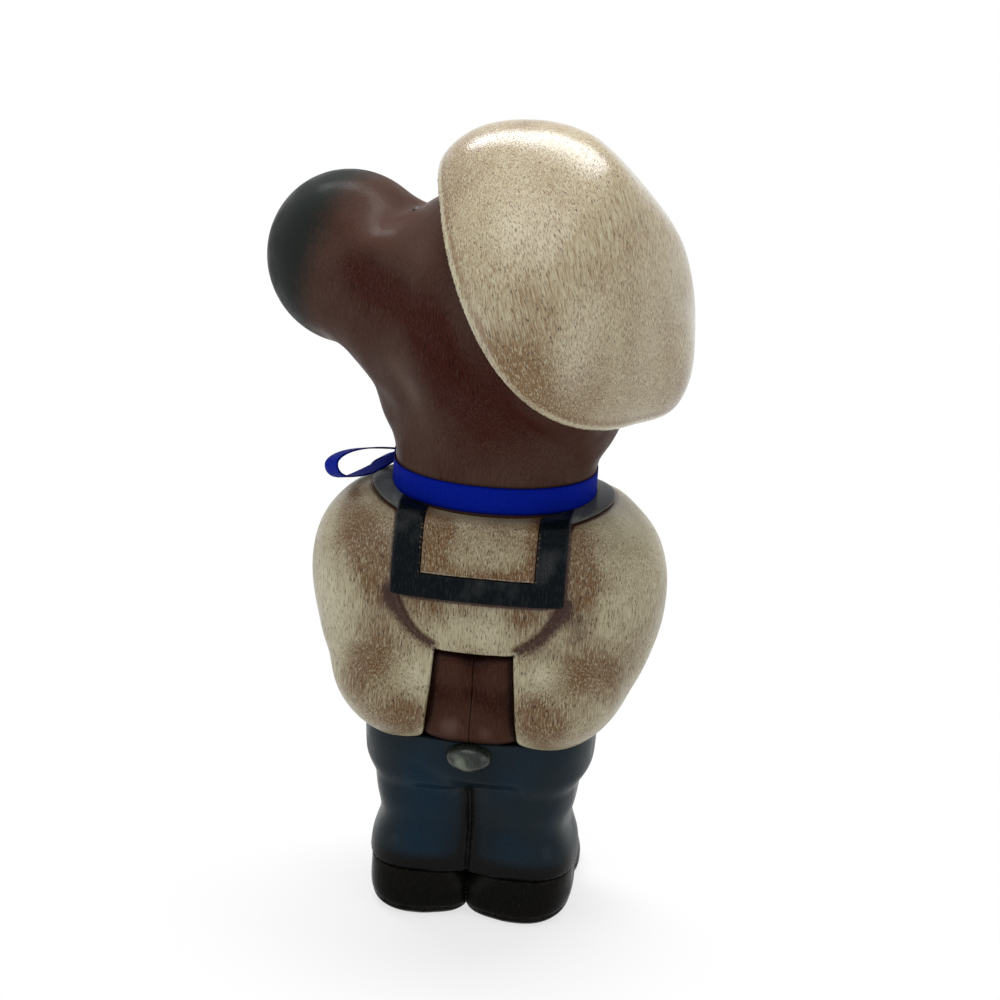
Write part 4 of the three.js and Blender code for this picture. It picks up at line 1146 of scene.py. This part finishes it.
cap_half_length = 57.9
cap_half_width = 49.8
cap_rise = 45.5
cap_edge = 2.2
cap_squareness = 2.12
cap_fullness = 1.6
cap_egg_share = 0.36
cap_lean_up_share = 0.33
cap_lean_aside_share = -0.2
cap_grain_lean = tuple(np.radians([25.7, 19.4, 0.0]))
facet_way = np.array([-0.729, -0.132, 0.672])
facet_reach = 220.4
rim_pale_levels = (2.9, 2.4)
rim_line_level = 3.9
rim_line_width = 0.9
underside_level = 0.25
underside_shade = 0.6


def cap_dome(points):
    """The dome in the beret's own frame: an egg-shaped plan that shrinks and leans as it rises."""
    up, aside, level = ((points - cap_place) @ cap_frame).T
    lift = np.maximum(level - cap_edge, 0)
    long = (up - cap_lean_up_share * lift) / cap_half_length
    wide = (aside - cap_lean_aside_share * lift) / cap_half_width
    around = np.hypot(long, wide) + 1e-9
    for _ in range(4):
        narrow = 1 - cap_egg_share * np.clip(long / around, -1, 1)
        powers = np.abs(long) ** cap_squareness + np.abs(wide / narrow) ** cap_squareness
        around = powers ** (1 / cap_squareness) + 1e-9
    dome = (around ** cap_fullness + (lift / cap_rise) ** cap_fullness) ** (1 / cap_fullness)
    return (dome - 1) * cap_rise


def cap_facet(points):
    """Above the flatter face pared off the back of the dome."""
    return points @ facet_way - facet_reach


cap_lobes = [egg(place, (18.0, 18.0, 18.0)) for place in ((-46.4, 5.2, 214.2), (5.2, -2.8, 270.2))]
pared_dome = trimmed(joined(cap_dome, *cap_lobes, fillet=12.0), cap_facet, edge=4.0)
cap_form = trimmed(pared_dome, flipped(cap_level), edge=0.9)
cream_cap, *_ = varnished(
    "antiqued_cream_beret", (164, 150, 119), rubbed_and_lit=(188, 180, 150), stain_and_shade=(112, 79, 30), glaze=(54, 32, 14),
    pores=0.75, hollows=0.6, stain_and_shade_depth=1.0, streaks=0.75, wear=0.3, lean=cap_grain_lean,
    roughness=0.38, coat=0.9, bump=0.1,
)
cap = carve("beret_carved", cap_form, (-72, -42, 194), (30, 70, 302), cell=1.0)
cap_points = note_hollows_and_edges(cap, cap_form)
cap_levels = cap_level(cap_points)
rim_line = 0.7 * line_mark(cap_levels - rim_line_level, rim_line_width)
rim_mark = rim_line - ramp(cap_levels, *rim_pale_levels)
# The downward face under the rim is darkened as painted shade.
rim_mark = np.where(cap_levels < underside_level, underside_shade, rim_mark)
note(cap, "stain_and_shade", rim_mark + dark_and_pale_spots(cap_points, [
    (-13.3, 63.1, 227.9, 8, 1), (-18.7, 63.4, 217.7, 9, 0.9), (-3, 58, 232, 7, 0.8), (17, 20, 275.4, 8, 0.7),
    (17, 28, 266, 7, 0.5), (14.4, 1.5, 288.6, 10, 0.6), (-4, -4, 296, 10, 0.5), (-63, 11.1, 210.8, 9, 0.6),
    (-36, 56, 210, 12, 0.35), (-12, 62, 246, 12, 0.2), (-3.4, 38.7, 268.5, 9, -0.6), (-20, 48, 268, 10, -0.3),
    (-40, 50, 240, 12, -0.25),
]))
finish_piece(cap, cream_cap, "cream_paint", "beret")


# Dowels
# Plain turned pegs inside the blocks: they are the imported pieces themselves, in bare hardwood.

bare_wood, *_ = varnished(
    "bare_hardwood", (196, 160, 112), rubbed_and_lit=(216, 184, 138), stain_and_shade=(168, 126, 78), glaze=(120, 82, 48),
    pores=0.4, hollows=0.0, stain_and_shade_depth=0.4, streaks=0.5, wear=0.0, roughness=0.7, coat=0.0, bump=0.05,
)
for node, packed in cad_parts.items():
    if "dowel" in node:
        packed.data.materials.clear()
        packed.data.materials.append(bare_wood)


# Neck ribbon
# One length of blue grosgrain, 10 mm wide, round the foot of the neck and tied in a bow at the
# bear's left front: two loops, and two short ends that come down over the collar's ring.

ribbon_width = 10.0
ribbon_thickness = 0.5
ribbon_columns = 6
rib_pitch = 0.62
knot_angle = np.radians(-20.0)
knot_level = 168.5
knot_radii = (2.4, 4.4, 5.2)
loop_half_length = 15.0
loop_half_height = 7.4
loop_roll = np.radians(19.0)
loop_twist = np.radians(26.0)
loop_headings = np.radians([59.0, -84.0])
hang_forward = 25.5
hang_clearance = 0.45
hang_end = 118.0
hang_top = ribbon_low - 4.5
hang_lift = ribbon_gap + 0.3
bend_out = 3.0
bend_rise = 6.5
knot_drop = 2.0
knot_share = 0.55
smoothing_passes = 4


def strip(middles, across, faces_out, is_ring=False):
    """A flat ribbon along a path: points, its width direction and outward side at each step."""
    steps = len(middles)
    shares = np.linspace(-0.5, 0.5, ribbon_columns + 1)
    sheet = middles[:, None, :] + shares[None, :, None] * across[:, None, :]
    thick = faces_out[:, None, :] * ribbon_thickness
    points = np.concatenate([sheet.reshape(-1, 3), (sheet + thick).reshape(-1, 3)])
    layer = steps * (ribbon_columns + 1)

    def spot(level, step, column):
        return level * layer + (step % steps) * (ribbon_columns + 1) + column

    faces = []
    for step in range(steps if is_ring else steps - 1):
        for column in range(ribbon_columns):
            corners = [(step, column), (step, column + 1), (step + 1, column + 1), (step + 1, column)]
            faces.append([spot(1, *corner) for corner in corners])
            faces.append([spot(0, *corner) for corner in reversed(corners)])
        for column, (near, far) in ((0, (1, 0)), (ribbon_columns, (0, 1))):
            faces.append([spot(near, step, column), spot(near, step + 1, column),
                          spot(far, step + 1, column), spot(far, step, column)])
    if not is_ring:
        for step, (near, far) in ((0, (0, 1)), (steps - 1, (1, 0))):
            for column in range(ribbon_columns):
                faces.append([spot(near, step, column), spot(near, step, column + 1),
                              spot(far, step, column + 1), spot(far, step, column)])
    run = np.concatenate([[0], np.cumsum(np.linalg.norm(np.diff(middles, axis=0), axis=1))])
    lengths = np.tile(np.repeat(run, ribbon_columns + 1), 2)
    sides = np.tile(np.tile(shares, steps), 2)
    return points, faces, lengths, sides


turns = np.linspace(0, 2 * np.pi, 181)[:-1] + knot_angle
outward = np.stack([np.cos(turns), np.sin(turns), 0 * turns], axis=1)
starts = np.tile([0.0, 0.0, ribbon_low + ribbon_width / 2], (len(turns), 1))
band_middles = starts + outward * (cast_out(head_block, starts, outward) + ribbon_gap)[:, None]
band = strip(band_middles, np.tile([0.0, 0.0, ribbon_width], (len(turns), 1)), outward, is_ring=True)

knot_out = np.array([np.cos(knot_angle), np.sin(knot_angle), 0.0])
knot_base = np.array([0.0, 0.0, knot_level])
knot_reach = cast_out(head_block, knot_base, knot_out)[0] + ribbon_gap + ribbon_thickness + knot_radii[0]
knot_place = knot_base + knot_out * knot_reach


def bow_loop(heading):
    """One loop: it leaves the knot, swells, hangs a little and comes back under itself."""
    way = about_z(heading) @ knot_out
    upright = np.array([0.0, 0.0, 1.0])
    bend = np.linspace(-0.97, 0.97, 61) * np.pi
    along = loop_half_length * (1 + np.cos(bend))
    open_share = along / (2 * loop_half_length)
    lift = loop_half_height * np.sin(bend) * (0.3 + 0.7 * open_share)
    sag = np.where(lift < 0, 1.25, 0.75) * lift - 1.5 * open_share
    middles = knot_place + way * along[:, None] + upright * sag[:, None]
    roll = (loop_roll - loop_twist * np.clip(-bend / np.pi - 0.35, 0, 0.5) / 0.5)[:, None]
    sideways = np.cos(roll) * np.cross(upright, way) + np.sin(roll) * upright
    width = ribbon_width * (0.4 + 0.6 * np.minimum(1, open_share * 1.8))
    outs = unit(np.cross(unit(np.gradient(middles, axis=0)), sideways))
    return strip(middles, sideways * width[:, None], outs)


def hanging_end(angle, lean):
    """One end: narrow out of the knot, over the collar's ring and down the breast."""
    climb = np.linspace(1, 0, 40)
    heading = angle + lean * np.sqrt(1 - climb)
    way = np.stack([np.cos(heading), np.sin(heading), 0 * heading], axis=1)
    across = np.stack([-np.sin(heading), np.cos(heading), 0 * heading], axis=1)
    start = np.zeros((len(climb), 3))
    start[:, 2] = hang_end + climb * (hang_top - hang_end)
    breast = start + way * (cast_out(blouse_block, start, way) + hang_lift)[:, None]
    fall = np.linspace(0, 1, 12)[:-1, None]
    bend_over = breast[0] + way[0] * bend_out + (0.0, 0.0, bend_rise)
    knot_foot = knot_place - (0.0, 0.0, knot_drop)
    over_collar = (1 - fall) ** 2 * knot_foot + 2 * fall * (1 - fall) * bend_over + fall ** 2 * breast[0]
    middles = np.concatenate([over_collar, breast])
    for _ in range(smoothing_passes):
        middles[1:-1] = (middles[:-2] + 2 * middles[1:-1] + middles[2:]) / 4
    narrow = np.concatenate([knot_share + (1 - knot_share) * fall, np.ones((len(climb), 1))])
    across = np.concatenate([np.repeat(across[:1], len(fall), axis=0), across]) * narrow
    outs = unit(np.cross(np.gradient(middles, axis=0), across))
    return strip(middles, across * ribbon_width, outs)


grosgrain, weave = new_material("blue_grosgrain")
rib_turns = maths(weave, "MULTIPLY", mark_of(weave, "run"), 2 * np.pi / rib_pitch)
rib = spread(weave, maths(weave, "SINE", rib_turns), -1.0, 1.0)
selvedge = spread(weave, maths(weave, "ABSOLUTE", mark_of(weave, "side")), 0.44, 0.49)
thread = spread(weave, noise_of(weave, across=0.35, along=0.35), 0.3, 0.7, 0.0, 0.3)
blue = blend_of(weave, rib, paint(1, 8, 108), paint(2, 26, 150))
blue = blend_of(weave, thread, blue, paint(6, 48, 168))
blue = blend_of(weave, maths(weave, "MULTIPLY", selvedge, 0.6), blue, paint(1, 4, 58))
rib_relief = add_node(weave, "ShaderNodeBump", {"Height": rib, "Strength": 0.8, "Distance": 0.12 * MM})
cloth = add_node(weave, "ShaderNodeBsdfPrincipled", {
    "Base Color": blue, "Roughness": 0.6, "Specular IOR Level": 0.03, "Normal": rib_relief.outputs[0],
})
add_node(weave, "ShaderNodeOutputMaterial", {"Surface": cloth.outputs[0]})

front_hang = -np.arctan2(hang_forward, flap_half_width + ribbon_width / 2 + hang_clearance)
ends = [
    hanging_end(front_hang + np.radians(14.0), np.radians(-4.0)),
    hanging_end(front_hang, np.radians(-5.0)),
]
ribbon_parts = [band, *[bow_loop(heading) for heading in loop_headings], *ends]
ribbon_faces = []
corners_before = 0
for part_points, part_faces, *_ in ribbon_parts:
    ribbon_faces += [[corners_before + corner for corner in face] for face in part_faces]
    corners_before += len(part_points)
ribbon = piece("neck_ribbon", np.concatenate([part[0] for part in ribbon_parts]), ribbon_faces)
note(ribbon, "run", np.concatenate([part[2] for part in ribbon_parts]), limit=np.inf)
note(ribbon, "side", np.concatenate([part[3] for part in ribbon_parts]))
finish_piece(ribbon, grosgrain, "ribbon", "ribbon_band", "ribbon_loop_back", "ribbon_loop_front",
             "ribbon_end_left", "ribbon_end_right")

knot_turn = about_z(knot_angle)


def pleat(points):
    """Distance from the pleat pressed into the knot's wrap."""
    return ((points - knot_place) @ knot_turn)[:, 1] - 1.2


knot_form = groove(egg(knot_place, knot_radii, knot_turn), pleat, half_width=0.5, depth=0.35)
knot = carve("ribbon_knot_wrap", knot_form, knot_place - 7, knot_place + 7, cell=0.35)
knot_points = points_of(knot)
note(knot, "run", knot_points[:, 2] - knot_place[2], limit=np.inf)
note(knot, "side", 0 * knot_points[:, 2])
finish_piece(knot, grosgrain, "ribbon", "ribbon_knot")
